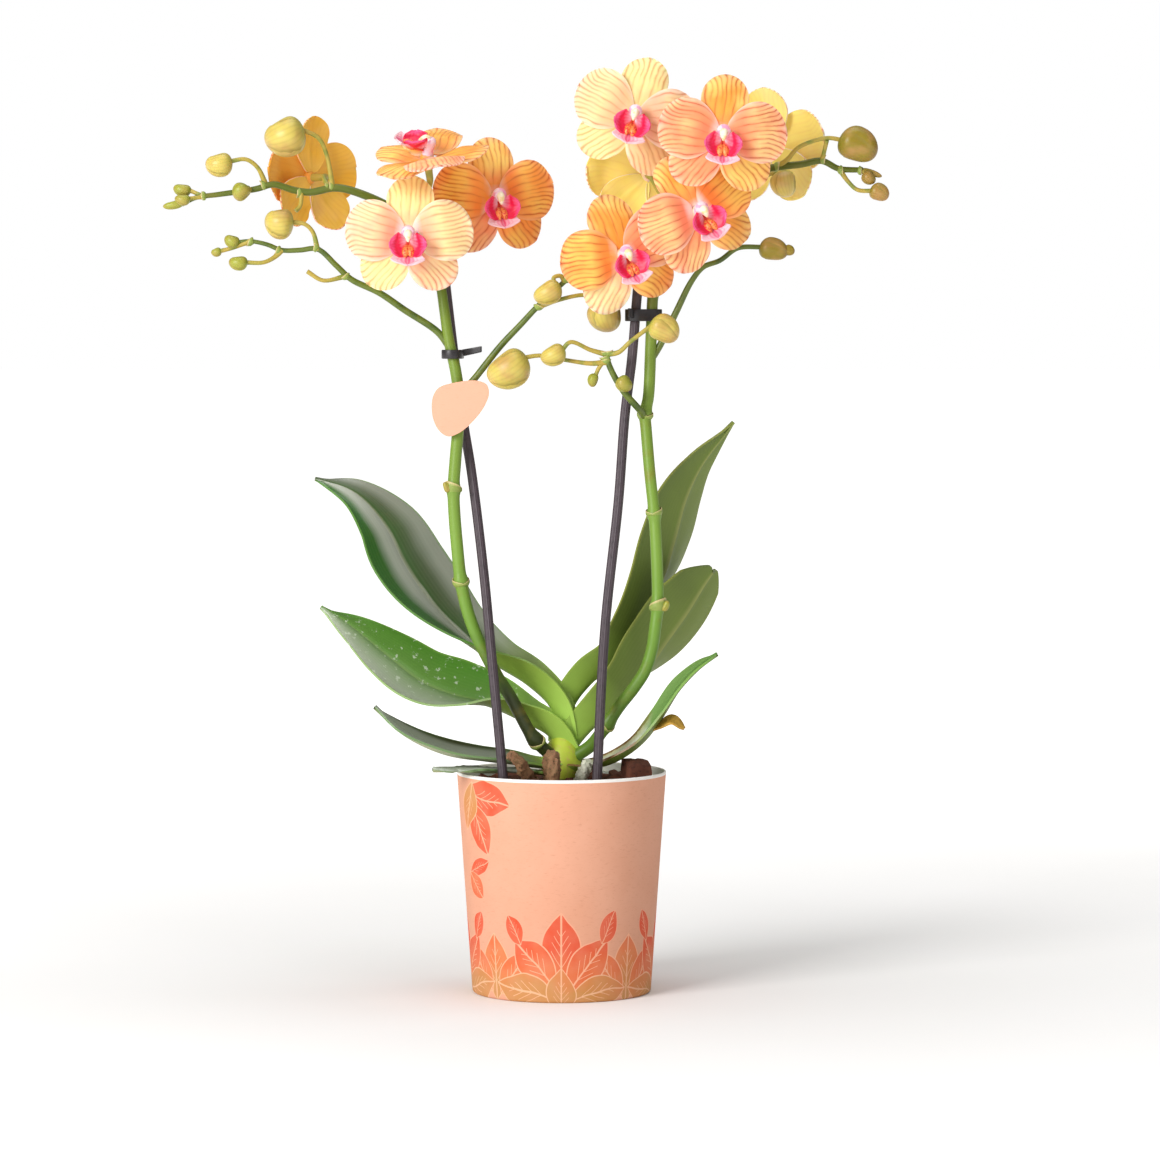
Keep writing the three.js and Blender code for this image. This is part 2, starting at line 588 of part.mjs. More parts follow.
function bloomFrame({ at, face, up }) {
  const front = vector(face).normalize();
  const right = vector(up).cross(front).normalize();
  const top = front.clone().cross(right);
  return new THREE.Matrix4().makeBasis(right, top, front).setPosition(...at);
}

function makeBlooms() {
  const disc = rod([[0, 0, hub.back], [0, 0, hub.front]], [hub.radius, hub.radius], 6, 1);
  const petals = tepals.map((each) => blade(tepalSurface(each), tepalThickness, tepalAlong, tepalAcross));
  const perianth = welded(toGeometry(fuse([disc, ...petals])));
  const lip = welded(toGeometry(fuse(lipGeometries())));
  Object.entries(blooms).forEach(([name, spec]) => {
    const place = bloomFrame(spec);
    add(`bloom_${name}_tepals`, perianth.clone().applyMatrix4(place), colours.petal, 0.6);
    add(`bloom_${name}_lip`, lip.clone().applyMatrix4(place), colours.lip, 0.5);
  });
}

function bloomStalk(spec) {
  const place = bloomFrame(spec);
  const behind = (distance) => vector([0, 0, hub.back - distance]).applyMatrix4(place).toArray();
  const path = [...spec.stalk, behind(touch + 8), behind(touch + 4), behind(touch)];
  return rod(path, [1.1, 1.1, 1.4, 1.7], 4, 4);
}

function spikeSolid(side) {
  const { main, mainRadii, knuckles, branches, pedicels, buds } = spikes[side];
  const stalks = Object.values(blooms).filter((spec) => spec.spike === side).map(bloomStalk);
  return fuse([
    rod(main, mainRadii, 6, 26),
    ...knuckles.map(([z, radius]) => knuckle(main, z, radius)),
    ...branches.map(([path, ...radii]) => rod(path, radii, 6, path.length - 1)),
    ...pedicels.map((path) => rod(path, [1, 0.95], 4, path.length - 1)),
    ...buds.map(bud),
    ...stalks,
  ]);
}

// Crown: the short stem with the folded sheaths of its leaves

const socket = { radii: [3.7, 3.5], reach: 9 };

// The hole that spike main leaves the stem through, begun a little below the spike's own foot.
function socketRod({ main }) {
  const below = vector(main[0]).lerp(vector(main[1]), -0.2).toArray();
  return rod([below, ...main.slice(1, socket.reach)], socket.radii, 6, 7);
}

function makeCrown() {
  const { foot, top, radius, sides } = stem;
  const profile = [[0, foot], [radius, foot], [radius + 1, foot + 8], [radius - 2, top - 2], [0, top]];
  const sheaths = Object.values(leaves).map((spec) => leafPiece(spec, 0, spec.joint, 3, [-1, 0, 1]));
  const sockets = Object.values(spikes).map(socketRod);
  const solid = cut(fuse([turned(profile, sides), ...sheaths]), sockets);
  add('crown', toGeometry(solid), colours.crown, 0.5);
}

// Bark: a plug in the nursery pot with loose chips proud of its top

function chipAt(random, radius, turn) {
  const [length, width, height] = bark.chip;
  const box = new THREE.BoxGeometry(
    length * (0.6 + 0.6 * random()),
    width * (0.6 + 0.6 * random()),
    height * (0.7 + 0.6 * random()),
  );
  box.rotateX(random() - 0.5).rotateY(random() - 0.5).rotateZ(Math.PI * random());
  return box.translate(radius * Math.cos(turn), radius * Math.sin(turn), bark.top + 0.6 * random());
}

function makeBark() {
  const innerRadius = (z) => {
    const share = (z - pot.floor) / (liner.height - pot.floor);
    return THREE.MathUtils.lerp(liner.baseRadius, liner.topRadius, share) - liner.wall - bark.room;
  };
  const floor = pot.floor + liner.wall;
  const profile = [
    [0, floor], [innerRadius(floor), floor], [innerRadius(bark.top), bark.top], [0, bark.top],
  ];
  const random = dice(bark.seed);
  const goldenTurn = Math.PI * (3 - Math.sqrt(5));
  const chips = Array.from({ length: bark.chips }, (_, i) => (
    chipAt(random, 12 + 20 * Math.sqrt(i / bark.chips), goldenTurn * i)
  ));
  const chunk = new THREE.BoxGeometry(10, 9, 17).rotateX(0.15).rotateZ(0.3).translate(33.5, -11, 98);
  const filling = fuse([turned(profile, bark.sides), ...chips, chunk]);
  const well = [stem.foot - touch, stem.top];
  const wellRadius = stem.radius + 2;
  const holes = [
    ...Object.values(sticks).map((path) => stickRod(path, touch)),
    ...rootRods(touch),
    turned([[0, well[0]], [wellRadius, well[0]], [wellRadius, well[1]], [0, well[1]]], 12),
  ];
  add('bark_mix', toGeometry(cut(filling, holes)), colours.barkBrown, 0.9);
}

// Clips: a loop round a spike and its stick, with a pinch tab

function loopOutline([ax, ay], [bx, by], radius) {
  const turn = Math.atan2(by - ay, bx - ax);
  const shape = new THREE.Path();
  shape.absarc(ax, ay, radius, turn + Math.PI / 2, turn + 1.5 * Math.PI, false);
  shape.absarc(bx, by, radius, turn - Math.PI / 2, turn + Math.PI / 2, false);
  return shape.getPoints(4);
}

function makeClip(name, [spikePoint, stickPoint], z, height, tabLength, tabTurn) {
  const inner = spikes.left.mainRadii[3] + clip.room;
  const shape = new THREE.Shape(loopOutline(spikePoint, stickPoint, inner + clip.wall));
  shape.holes.push(new THREE.Path(loopOutline(spikePoint, stickPoint, inner)));
  const loop = new THREE.ExtrudeGeometry(shape, { depth: height, bevelEnabled: false });
  loop.translate(0, 0, z - height / 2);
  const tab = new THREE.BoxGeometry(tabLength, clip.wall, height * 0.8).rotateY(-0.2);
  tab.translate(inner + tabLength / 2 + 0.4, 0, 0.5);
  tab.rotateZ(tabTurn).translate(...stickPoint, z);
  add(name, toGeometry(fuse([loop, tab])), colours.clip, 0.5);
}

// Tag: a card in the outline of a rounded drop, with an open ring on its back round the spike

function tagCard() {
  const half = 12.6;
  const shape = new THREE.Shape();
  shape.moveTo(-half, 4);
  shape.bezierCurveTo(-half, 11.5, half, 13.5, half, 3.5);
  shape.bezierCurveTo(half, -3, 2, -half, -3.4, -half);
  shape.bezierCurveTo(-9, -half, -half, -3, -half, 4);
  const options = { depth: tag.thickness, bevelEnabled: false, curveSegments: 5 };
  const card = new THREE.ExtrudeGeometry(shape, options);
  card.rotateX(Math.PI / 2).rotateY(THREE.MathUtils.degToRad(tag.tilt));
  return card.translate(tag.x, tag.front + tag.thickness, tag.z);
}

function makeTag() {
  const { x, y, z, inner, outer, opening, height } = tagRing;
  const arc = new THREE.Shape();
  arc.absarc(0, 0, outer, opening, 2 * Math.PI - opening, false);
  arc.absarc(0, 0, inner, 2 * Math.PI - opening, opening, true);
  const band = new THREE.ExtrudeGeometry(arc, { depth: height, bevelEnabled: false, curveSegments: 8 });
  band.rotateZ(Math.PI / 2).translate(x, y, z);
  const bridgeFrom = tag.front + tag.thickness / 2;
  const bridgeTo = y - (inner + outer) / 2;
  const bridge = new THREE.BoxGeometry(5, bridgeTo - bridgeFrom, height);
  bridge.translate(x, (bridgeFrom + bridgeTo) / 2, z + height / 2);
  add('tag', toGeometry(fuse([tagCard(), band, bridge])), colours.card, 0.7);
}

makeCover();
makeLiner();
makeBark();
add('roots', toGeometry(fuse(rootRods())), colours.root, 0.8);
makeCrown();
makeLeaves();
add('spike_left', toGeometry(spikeSolid('left')), colours.stalk, 0.5);
add('spike_right', toGeometry(spikeSolid('right')), colours.stalk, 0.5);
add('stick_left', stickRod(sticks.left), colours.stick, 0.5);
add('stick_right', stickRod(sticks.right), colours.stick, 0.5);
makeClip('clip_left', [[-49, -4.3], [-48.6, 3.2]], 287.5, clip.leftHeight, 9, -0.15);
makeClip('clip_right', [[40.4, 0], [33.2, -2.1]], 305, clip.rightHeight, 4, -2);
makeTag();
makeBlooms();

export default root;
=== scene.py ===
import math
import random

import bpy
from mathutils import Matrix, Vector, noise


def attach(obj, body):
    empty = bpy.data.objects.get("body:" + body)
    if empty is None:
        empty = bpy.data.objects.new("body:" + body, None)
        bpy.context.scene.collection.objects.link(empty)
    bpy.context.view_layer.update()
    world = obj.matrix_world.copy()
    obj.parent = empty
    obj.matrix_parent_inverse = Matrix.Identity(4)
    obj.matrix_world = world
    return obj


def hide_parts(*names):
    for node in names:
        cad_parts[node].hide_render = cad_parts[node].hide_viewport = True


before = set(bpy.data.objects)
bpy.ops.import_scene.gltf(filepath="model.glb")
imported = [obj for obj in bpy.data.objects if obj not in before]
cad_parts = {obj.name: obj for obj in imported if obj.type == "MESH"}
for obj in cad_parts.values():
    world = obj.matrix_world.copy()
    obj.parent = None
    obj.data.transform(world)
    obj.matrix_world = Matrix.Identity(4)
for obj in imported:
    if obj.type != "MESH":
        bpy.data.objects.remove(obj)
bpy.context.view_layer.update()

# Potted moth orchid with two staked sprays. Sizes in the dictionaries are millimetres, and those of
# the camera, the lamps and the studio are metres.

mm = 0.001


# Nodes and materials

def linear(hexText):
    # sRGB hex to the linear colour that Blender's sockets take
    parts = [int(hexText[i:i + 2], 16) / 255 for i in (0, 2, 4)]
    return [p / 12.92 if p <= 0.04045 else ((p + 0.055) / 1.055) ** 2.4 for p in parts] + [1]


def fill(inlet, value):
    # links a socket, makes a hex colour linear, and sets any other value as it is
    if isinstance(value, bpy.types.NodeSocket):
        inlet.id_data.links.new(value, inlet)
    else:
        inlet.default_value = linear(value) if isinstance(value, str) else value


def nodeAdder(tree):
    # gives the function that adds a node to the tree and hands back its first output.
    # Its terms fill the node's sockets in order, stops are a ramp's (place, colour), a kind in
    # capitals is an operation of the Math node, and a Mix node mixes colours unless told otherwise
    def add(kind, *terms, stops=(), **settings):
        made = tree.nodes.new("ShaderNode" + ("Math" if kind.isupper() else kind))
        if kind.isupper():
            made.operation = kind
        elif kind == "Mix":
            made.data_type = "RGBA"
        for key, value in settings.items():
            setattr(made, key, value)
        for inlet, term in zip([inlet for inlet in made.inputs if inlet.enabled], terms):
            if term is not None:
                fill(inlet, term)
        for i, (place, colour) in enumerate(stops):
            ramp = made.color_ramp.elements
            step = ramp[i] if i < 2 else ramp.new(place)
            step.position, step.color = place, linear(colour)
        return next(outlet for outlet in made.outputs if outlet.enabled)

    return add


def dress(material, **looks):
    # sets or links sockets of the material's surface
    shader = material.node_tree.nodes["Principled BSDF"]
    for key, value in looks.items():
        fill(shader.inputs[key.replace("_", " ")], value)
    return material


def newMaterial(name, **looks):
    material = bpy.data.materials.new(name)
    material.use_nodes = True
    return dress(material, **looks), nodeAdder(material.node_tree)


def smoothStep(low, high, x):
    share = min(max((x - low) / (high - low), 0), 1)
    return share * share * (3 - 2 * share)


# Paths and sheets

def pathPoint(points, s):
    # a smooth line through the points, with s from 0 to 1 counted in stretches
    ends = [2 * points[0] - points[1], *points, 2 * points[-1] - points[-2]]
    place = min(max(s, 0), 1) * (len(points) - 1)
    low = min(int(place), len(points) - 2)
    a, b, c, d = ends[low:low + 4]
    gaps = [max((q - p).length ** 0.5, 1e-6) for p, q in ((a, b), (b, c), (c, d))]
    leave = ((b - a) / gaps[0] - (c - a) / (gaps[0] + gaps[1]) + (c - b) / gaps[1]) * gaps[1]
    arrive = ((c - b) / gaps[1] - (d - b) / (gaps[1] + gaps[2]) + (d - c) / gaps[2]) * gaps[1]
    x = place - low
    return b + leave * x + (3 * (c - b) - 2 * leave - arrive) * x ** 2 + (2 * (b - c) + leave + arrive) * x ** 3


def evenPath(points, count):
    # the smooth line cut into count equal lengths
    fine = [pathPoint(points, i / 400) for i in range(401)]
    run = [0]
    for p, q in zip(fine, fine[1:]):
        run.append(run[-1] + (q - p).length)
    made, at = [], 0
    for i in range(count + 1):
        goal = run[-1] * i / count
        while at < 399 and run[at + 1] < goal:
            at += 1
        made.append(fine[at].lerp(fine[at + 1], (goal - run[at]) / max(run[at + 1] - run[at], 1e-9)))
    return made


def sampled(values, s):
    # a smooth run through values that stand at even steps
    ends = [2 * values[0] - values[1], *values, 2 * values[-1] - values[-2]]
    place = min(max(s, 0), 1) * (len(values) - 1)
    low = min(int(place), len(values) - 2)
    a, b, c, d = ends[low:low + 4]
    x = place - low
    return b + (c - a) / 2 * x + (a - 2.5 * b + 2 * c - d / 2) * x ** 2 + (1.5 * (b - c) + (d - a) / 2) * x ** 3


def sampledVector(vectors, s):
    return Vector([sampled([v[axis] for v in vectors], s) for axis in range(3)])


def vectors(rows):
    return [Vector(row) for row in rows]


def pick(*pieces):
    # selects these pieces alone, with the first one active
    bpy.ops.object.select_all(action="DESELECT")
    for piece in pieces:
        piece.select_set(True)
    bpy.context.view_layer.objects.active = pieces[0]


def startPiece(name, mesh_add, **options):
    bpy.ops.object.select_all(action="DESELECT")
    mesh_add(**options)
    piece = bpy.context.object
    piece.name = piece.data.name = name
    return piece


def copyPiece(piece):
    copied = piece.copy()
    copied.data = piece.data.copy()
    bpy.context.collection.objects.link(copied)
    return copied


def editPiece(piece, *steps):
    # runs edit-mode operators on the whole piece
    pick(piece)
    bpy.ops.object.mode_set(mode="EDIT")
    bpy.ops.mesh.select_all(action="SELECT")
    for step, options in steps:
        step(**options)
    bpy.ops.object.mode_set(mode="OBJECT")


def closeSheet(sheet, reach=1e-7):
    # welds points within reach, in metres, caps what stays open and turns the faces outwards
    editPiece(sheet, (bpy.ops.mesh.remove_doubles, {"threshold": reach}), (bpy.ops.mesh.fill_holes, {"sides": 0}),
              (bpy.ops.mesh.normals_make_consistent, {"inside": False}))
    return sheet


def addSheet(name, across, along, shape, spread=1.0):
    # a flat grid pushed into shape(s, t), s 0 to 1 along it and t -1 to 1 across it.
    # spread over 1 puts its rows closer near the far end
    sheet = startPiece(name, bpy.ops.mesh.primitive_grid_add, x_subdivisions=across,
                       y_subdivisions=along, size=2)
    places = [(1 - (1 - (v.co.y + 1) / 2) ** spread, v.co.x) for v in sheet.data.vertices]
    for vertex, (s, t) in zip(sheet.data.vertices, places):
        vertex.co = shape(s, t) * mm
    layer = sheet.data.uv_layers[0]
    layer.name = "sheet"
    for loop in sheet.data.loops:
        s, t = places[loop.vertex_index]
        layer.data[loop.index].uv = ((t + 1) / 2, s)
    return sheet


def addModifier(piece, kind, **settings):
    made = piece.modifiers.new(kind.title(), kind)
    for key, value in settings.items():
        setattr(made, key, value)
    pick(piece)
    bpy.ops.object.modifier_apply(modifier=made.name)


def thicken(sheet, thickness, **more):
    # gives a sheet its wall. material_offset is how many slots further on its far side's finish is
    addModifier(sheet, "SOLIDIFY", **{"thickness": thickness * mm, "offset": 0, **more})


def addTube(name, points, radii, around, along, ridge=None):
    # a sheet rolled round a path, closed at its seam and both ends.
    # ridge(s, angle, point) gives a share of the radius
    line = evenPath(points, along)
    tangents = [(line[min(i + 1, along)] - line[max(i - 1, 0)]).normalized() for i in range(along + 1)]
    side = tangents[0].orthogonal().normalized()
    sides = []
    for tangent in tangents:
        side = (side - tangent * side.dot(tangent)).normalized()
        sides.append(side)

    def roll(s, t):
        i = round(s * along)
        angle = math.pi * t
        radius = radii(s, line[i]) if callable(radii) else sampled(radii, s)
        if ridge:
            radius *= ridge(s, angle, line[i])
        return line[i] + (sides[i] * math.cos(angle) + tangents[i].cross(sides[i]) * math.sin(angle)) * radius

    return closeSheet(addSheet(name, around, along, roll))


def joinPieces(name, pieces):
    whole = pieces[0]
    pick(*pieces)
    if len(pieces) > 1:
        bpy.ops.object.join()
    whole.name = whole.data.name = name
    return whole


def finishPiece(piece, slot, *nodes, angle):
    # edges sharper than angle degrees stay crisp
    pick(piece)
    bpy.ops.object.shade_smooth_by_angle(angle=math.radians(angle))
    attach(piece, "root")
    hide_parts(*nodes)


def paint(piece, *materials):
    piece.data.materials.clear()
    for material in materials:
        piece.data.materials.append(material)
    return piece


# Camera, floor and light

camera = {"place": (0.0083, -2.1, 0.300), "aim": (0.0083, 0, 0.186), "lens": 145, "sensor": 36}
lamps = {
    "keyLight": {"place": (-1.5, -1.8, 1.1), "power": 55, "size": 1.1},
    "fillLight": {"place": (1.3, -2.0, 1.5), "power": 4, "size": 1.6},
    "topLight": {"place": (0.1, 0.1, 2.2), "power": 22, "size": 1.8},
}
studio = {
    "floor": 60.0,
    "aim": (0, 0, 0.22),  # the middle of the plant, which the lamps face
    "sky": 0.24,
    "backdrop": 1.0,
    "farGlow": 0.95,  # lights the floor's far part as evenly as the backdrop
}


def faceTowards(thing, aim):
    thing.rotation_euler = (Vector(aim) - thing.location).to_track_quat("-Z", "Y").to_euler()


def makeStudio():
    bpy.ops.object.camera_add(location=camera["place"])
    view = bpy.context.object
    view.data.lens, view.data.sensor_width = camera["lens"], camera["sensor"]
    faceTowards(view, camera["aim"])
    bpy.context.scene.camera = view
    for name, lamp in lamps.items():
        bpy.ops.object.light_add(type="AREA", location=lamp["place"])
        light = bpy.context.object
        light.name = name
        light.data.energy, light.data.size = lamp["power"], lamp["size"]
        faceTowards(light, studio["aim"])
    world = bpy.data.worlds.new("paleRoom")
    world.use_nodes = True
    sky = world.node_tree.nodes["Background"]
    add = nodeAdder(world.node_tree)
    fill(sky.inputs["Color"], (1, 1, 1, 1))
    seen = add("LightPath")  # Is Camera Ray, so that the backdrop stays white
    fill(sky.inputs["Strength"], add("MapRange", seen, 0, 1, studio["sky"], studio["backdrop"]))
    bpy.context.scene.world = world
    bpy.context.scene.view_settings.view_transform = "Standard"
    floor = startPiece("floor", bpy.ops.mesh.primitive_plane_add, size=studio["floor"])
    material, add = newMaterial("paleFloorPaint", Roughness=0.9)
    place = add("TexCoord").node.outputs["Object"]
    tone = add("ValToRGB", add("TexNoise", place, 3.0), stops=[(0.3, "F7F6F4"), (0.7, "FBFAF9")])
    away = add("VectorMath", place, operation="LENGTH")
    glow = add("MapRange", away, 0.1, 1.6, 0, studio["farGlow"])
    paint(floor, dress(material, Base_Color=tone, Emission_Color=tone, Emission_Strength=glow))


makeStudio()
print("studio ready")


# Finishes

def sheetPlace(add, layer="sheet"):
    # across and along a sheet, 0 to 1, from its own UV map, and how far off its middle line, 0 to 1
    across, along, _ = add("SeparateXYZ", add("UVMap", uv_map=layer)).node.outputs
    return across, along, add("ABSOLUTE", add("MULTIPLY_ADD", across, 2, -1))


def grain(add, size, detail=2, rough=0.5, place=None):
    # soft noise through the piece, with size as its grain in millimetres
    place = place or add("TexCoord").node.outputs["Object"]
    return add("TexNoise", place, 1 / (size * mm), detail, rough)


def layered(add, ground, *layers):
    # lays colours over the ground, each by its own share
    for share, colour in layers:
        ground = add("Mix", share, ground, colour)
    return ground


petalTones = {
    # throat, body, flush and rim of the front, the veins, and the back
    "cream": ("F6C89C", "FBE8A4", "F8DA9C", "F9E8BC", "DAA266", "F6DC70"),
    "pale": ("F6BE98", "F8DEA2", "F8D09C", "F9E6CC", "D8946A", "F8E078"),
    "blushed": ("F4AA8C", "F8D8A4", "F6C09A", "F9DCCC", "DA8664", "F6D66C"),
    "golden": ("F4A25C", "FACE70", "F2A648", "F6C698", "C2662E", "F6BC42"),
    "apricot": ("F28E68", "F9CB8A", "F39E6E", "F9CDB8", "CA5A38", "F2C250"),
    "deep": ("FF8E40", "FFCA64", "FFA64C", "F8B684", "CC5E28", "F4AA3C"),
}
petalVeins = {
    # follow and leave are how closely a vein keeps to the outline, before the widest place and after it
    "count": 3.6, "sharp": 2.8, "follow": 0.3, "leave": 1.6,
    "start": (0.06, 0.34), "fork": (0.42, 0.66), "forkShare": 0.85,
}


def petalFinish(tone, back=False):
    # living petal tissue: soft, slightly waxy, with coral veins that fan out from the claw and fork
    throat, body, flush, rim, vein, under = petalTones[tone]
    material, add = newMaterial(("petalBack_" if back else "petalFront_") + tone, Roughness=0.6,
                                Subsurface_Weight=0.15 if back else 0.6, Subsurface_Scale=0.001,
                                Subsurface_Radius=(1.0, 0.45, 0.2), Specular_IOR_Level=0.25)
    fan, along, _ = sheetPlace(add, "veins")
    off = sheetPlace(add)[2]
    wobble = add("MULTIPLY_ADD", grain(add, 12, 1), 0.24, -0.12)
    shiver = add("MULTIPLY", add("MULTIPLY_ADD", grain(add, 3), 0.06, -0.03), along)
    turns = add("MULTIPLY", add("ADD", add("ADD", fan, wobble), shiver), petalVeins["count"] * math.pi)
    line, fork = (add("SUBTRACT", 1, add("ABSOLUTE", add(wave, turns))) for wave in ("SINE", "COSINE"))
    line = add("MULTIPLY", add("POWER", line, petalVeins["sharp"]), add("MapRange", along, *petalVeins["start"]))
    fork = add("MULTIPLY", add("POWER", fork, 1.2 * petalVeins["sharp"]), petalVeins["forkShare"])
    fork = add("MULTIPLY", fork, add("MapRange", along, *petalVeins["fork"]))
    out = add("MAXIMUM", add("POWER", off, 2.6), add("POWER", along, 4))  # 1 at the rim
    uneven = add("MULTIPLY_ADD", out, 0.45, add("MULTIPLY", grain(add, 6), 1.5))
    line = add("MULTIPLY", add("MAXIMUM", line, fork), uneven, use_clamp=True)
    blush = add("MapRange", grain(add, 16), 0.42, 0.62)
    if back:
        ground = layered(add, under, (add("MULTIPLY", blush, 0.4), body))
    else:
        ground = add("ValToRGB", along, stops=[(0.04, "F9DEDA"), (0.17, throat), (0.26, throat), (0.5, body)])
        ground = layered(add, ground, (blush, flush), (add("MULTIPLY", add("POWER", out, 3), 0.85), rim))
    ground = layered(add, ground, (add("MULTIPLY", line, 0.12 if back else 0.95), vein))
    return dress(material, Base_Color=ground, Normal=add("Bump", 0.3, 0.1 * mm, None, line))


def lipFinish():
    # fleshy side lobes of the lip: crimson pink, paler and streaked towards the column, red at the throat
    material, add = newMaterial("fleshyLip", Roughness=0.42, Subsurface_Weight=0.12, Subsurface_Scale=0.0012)
    across, along, _ = sheetPlace(add)
    streak = add("SINE", add("MULTIPLY", across, 40))
    place = add("MULTIPLY_ADD", grain(add, 2.4), 0.22, add("MULTIPLY_ADD", streak, 0.035, along))
    tone = add("ValToRGB", place, stops=[(0.2, "F6C2CE"), (0.4, "F07C96"), (0.56, "EC1A50"), (0.8, "E20C40"),
                                         (1, "F04C80")])
    throat = add("MULTIPLY", add("MapRange", across, 0.5, 0.72), add("MapRange", place, 0.56, 0.4))
    return dress(material, Base_Color=layered(add, tone, (throat, "E24A30")),
                 Normal=add("Bump", 0.15, 0.1 * mm, None, streak))


def midlobeFinish():
    # middle lobe: pale pink with magenta streaks down its middle and a red-orange foot
    material, add = newMaterial("streakedMidlobe", Roughness=0.45, Subsurface_Weight=0.12,
                                Subsurface_Scale=0.0012)
    across, along, off = sheetPlace(add)
    streak = add("SINE", add("MULTIPLY", across, 52))
    place = add("MULTIPLY_ADD", grain(add, 2.5), 0.4, add("MULTIPLY_ADD", streak, 0.16, off))
    tone = add("ValToRGB", place, stops=[(0.1, "E0406E"), (0.42, "F08CA6"), (0.85, "F6C4CC")])
    return dress(material, Base_Color=layered(add, "E24A34", (add("MapRange", along, 0.3, 0.5), tone)))


def speckledFinish(name, ground, spots, size, share, rough):
    # flesh with small irregular spots, as on the callus and the column's cap
    material, add = newMaterial(name, Roughness=rough, Subsurface_Weight=0.1, Subsurface_Scale=0.001)
    stops = [(share, ground), (share + 0.08, spots)]
    return dress(material, Base_Color=add("ValToRGB", grain(add, size, 1), stops=stops))


leafTones = {
    # foot, blade, painted shade on one half of the blade, midrib and edge
    "deep": ("A8CA56", "235C0E", "34381A", "9AA084", "5E8A3A"),
    "bright": ("B6DA5A", "6E9448", "487C24", "8AA864", "86AC50"),
    "olive": ("A6CC54", "6C8024", "586C1C", "A0A45C", "8A9040"),
    "paleLitUnder": ("A8B868", "A3AE7E", "8A9A62", "B4BA98", "A8B488"),
}
paintedSheens = {
    # how strong the painted silver sheen, a reflection laid into the colour, is across the blade, from its lower edge
    # to its upper one: the place and the hex level of a grey
    "deep": [(0, "00"), (0.15, "10"), (0.32, "F0"), (0.49, "FF"), (0.53, "28"), (0.7, "60"), (0.88, "C4"),
             (1, "C4")],
    "dusted": [(0, "F8"), (0.3, "C0"), (0.55, "18"), (0.85, "08"), (1, "20")],
    "low": [(0, "FF"), (0.45, "E8"), (0.8, "D0"), (0.93, "10"), (1, "00")],
    "even": [(0, "C0"), (1, "C0")],
}


def leafFinish(tone, name, sheen, bloom, rough=0.34, dust=0.0, dry=0.0, coat=0.18):
    # thick leaf skin under a wax coat: fine lengthwise nerves and a midrib, bright at its foot, painted shade over
    # one half of the blade and a painted silver sheen. bloom is how strong the painted sheen is, dust how strong its
    # flecks are, and an old leaf has dried to silver over its lower part
    foot, blade, shadeTone, rib, edge = leafTones[tone]
    material, add = newMaterial(name, Roughness=rough, Coat_Weight=coat, Coat_Roughness=0.3, IOR=1.42)
    across, along, off = sheetPlace(add)
    # one half of the blade darker: painted shade, broken by a random mottle
    mottleAndShade = add("MULTIPLY_ADD", grain(add, 22, 3), 0.6, add("MULTIPLY_ADD", across, 1.1, -0.4))
    nerve = add("SINE", add("MULTIPLY", across, 46 * math.pi))
    shifted = add("MULTIPLY_ADD", grain(add, 30), 0.16, add("SUBTRACT", across, 0.08))
    # painted silver sheen: a reflection laid into the colour across the blade
    paintedSheen = add("ValToRGB", shifted, stops=[(place, level * 3) for place, level in paintedSheens[sheen]])
    paintedSheen = add("MULTIPLY", add("MULTIPLY", paintedSheen, bloom), add("MapRange", along, 0.18, 0.36))
    middle = add("MapRange", off, 0.075, 0, 0, 0.75)
    flecks = add("MapRange", grain(add, 3.6, 4, 0.7), 0.6, 0.65, 0, dust)
    low = add("MapRange", along, 0.4, 0.05)
    low = add("MULTIPLY", low, add("MULTIPLY_ADD", grain(add, 12), 0.5, 0.7), use_clamp=True)
    # layers: painted shade on one half, nerves, painted silver sheen, midrib, edge, flecks and the pale foot
    ground = layered(add, blade, (mottleAndShade, shadeTone), (add("MULTIPLY_ADD", nerve, 0.02, 0.03), rib), (paintedSheen, "A9AEA0"),
                     (middle, rib), (add("MapRange", off, 0.94, 1, 0, 0.7), edge), (flecks, "C9D3BE"), (low, foot))
    if dry:
        place = add("MULTIPLY_ADD", grain(add, 9, 4), 0.3, along)
        husk = add("ValToRGB", add("MULTIPLY_ADD", grain(add, 2.5, 4), 0.3, off),
                   stops=[(0.5, "C9CCBA"), (0.95, "B9B08A"), (1, "7A4A2C")])
        ground = layered(add, ground, (add("MapRange", place, 0.72, 0.58, 0, dry), husk))
    height = add("ADD", add("MULTIPLY", nerve, 0.12), middle)
    return dress(material, Base_Color=ground, Normal=add("Bump", 0.25, 0.25 * mm, None, height))


def grownFinish(name, main, second, third, size, rough, bump, coat=0.0, fine=5):
    # one mottled grown skin: main colour, drifting to second, with third in the finest grain
    material, add = newMaterial(name, Roughness=rough, Coat_Weight=coat, Coat_Roughness=0.35)
    flecks = add("MapRange", grain(add, size / 5, fine, 0.65), 0.5, 0.72)
    ground = layered(add, main, (grain(add, size, 3), second), (flecks, third))
    return dress(material, Base_Color=ground,
                 Normal=add("Bump", bump, 0.3 * mm, None, grain(add, size / 4, fine, 0.6)))


def stalkFinish(name, foot):
    # stalk skin: fresh green along the middle, darkened at its foot by painted shade of the leaves, and deep green
    # where the blooms hang.
    # The places of the tones are heights in metres
    material, add = newMaterial(name, Roughness=0.45, Coat_Weight=0.05, Coat_Roughness=0.35,
                                Specular_IOR_Level=0.35)
    up = add("SeparateXYZ", add("TexCoord").node.outputs["Object"]).node.outputs["Z"]
    tone = add("ValToRGB", add("MULTIPLY_ADD", grain(add, 18), 0.03, up),
               stops=[(0.11, foot), (0.145, foot), (0.178, "6A9030"), (0.22, "789A3A"), (0.31, "72882E"),
                      (0.345, "52661A"), (0.4, "5C6214")])
    tinge = add("MapRange", grain(add, 11, 3), 0.55, 0.75, 0, 0.5)
    return dress(material, Base_Color=layered(add, tone, (tinge, "867426")),
                 Normal=add("Bump", 0.05, 0.3 * mm, None, grain(add, 5)))


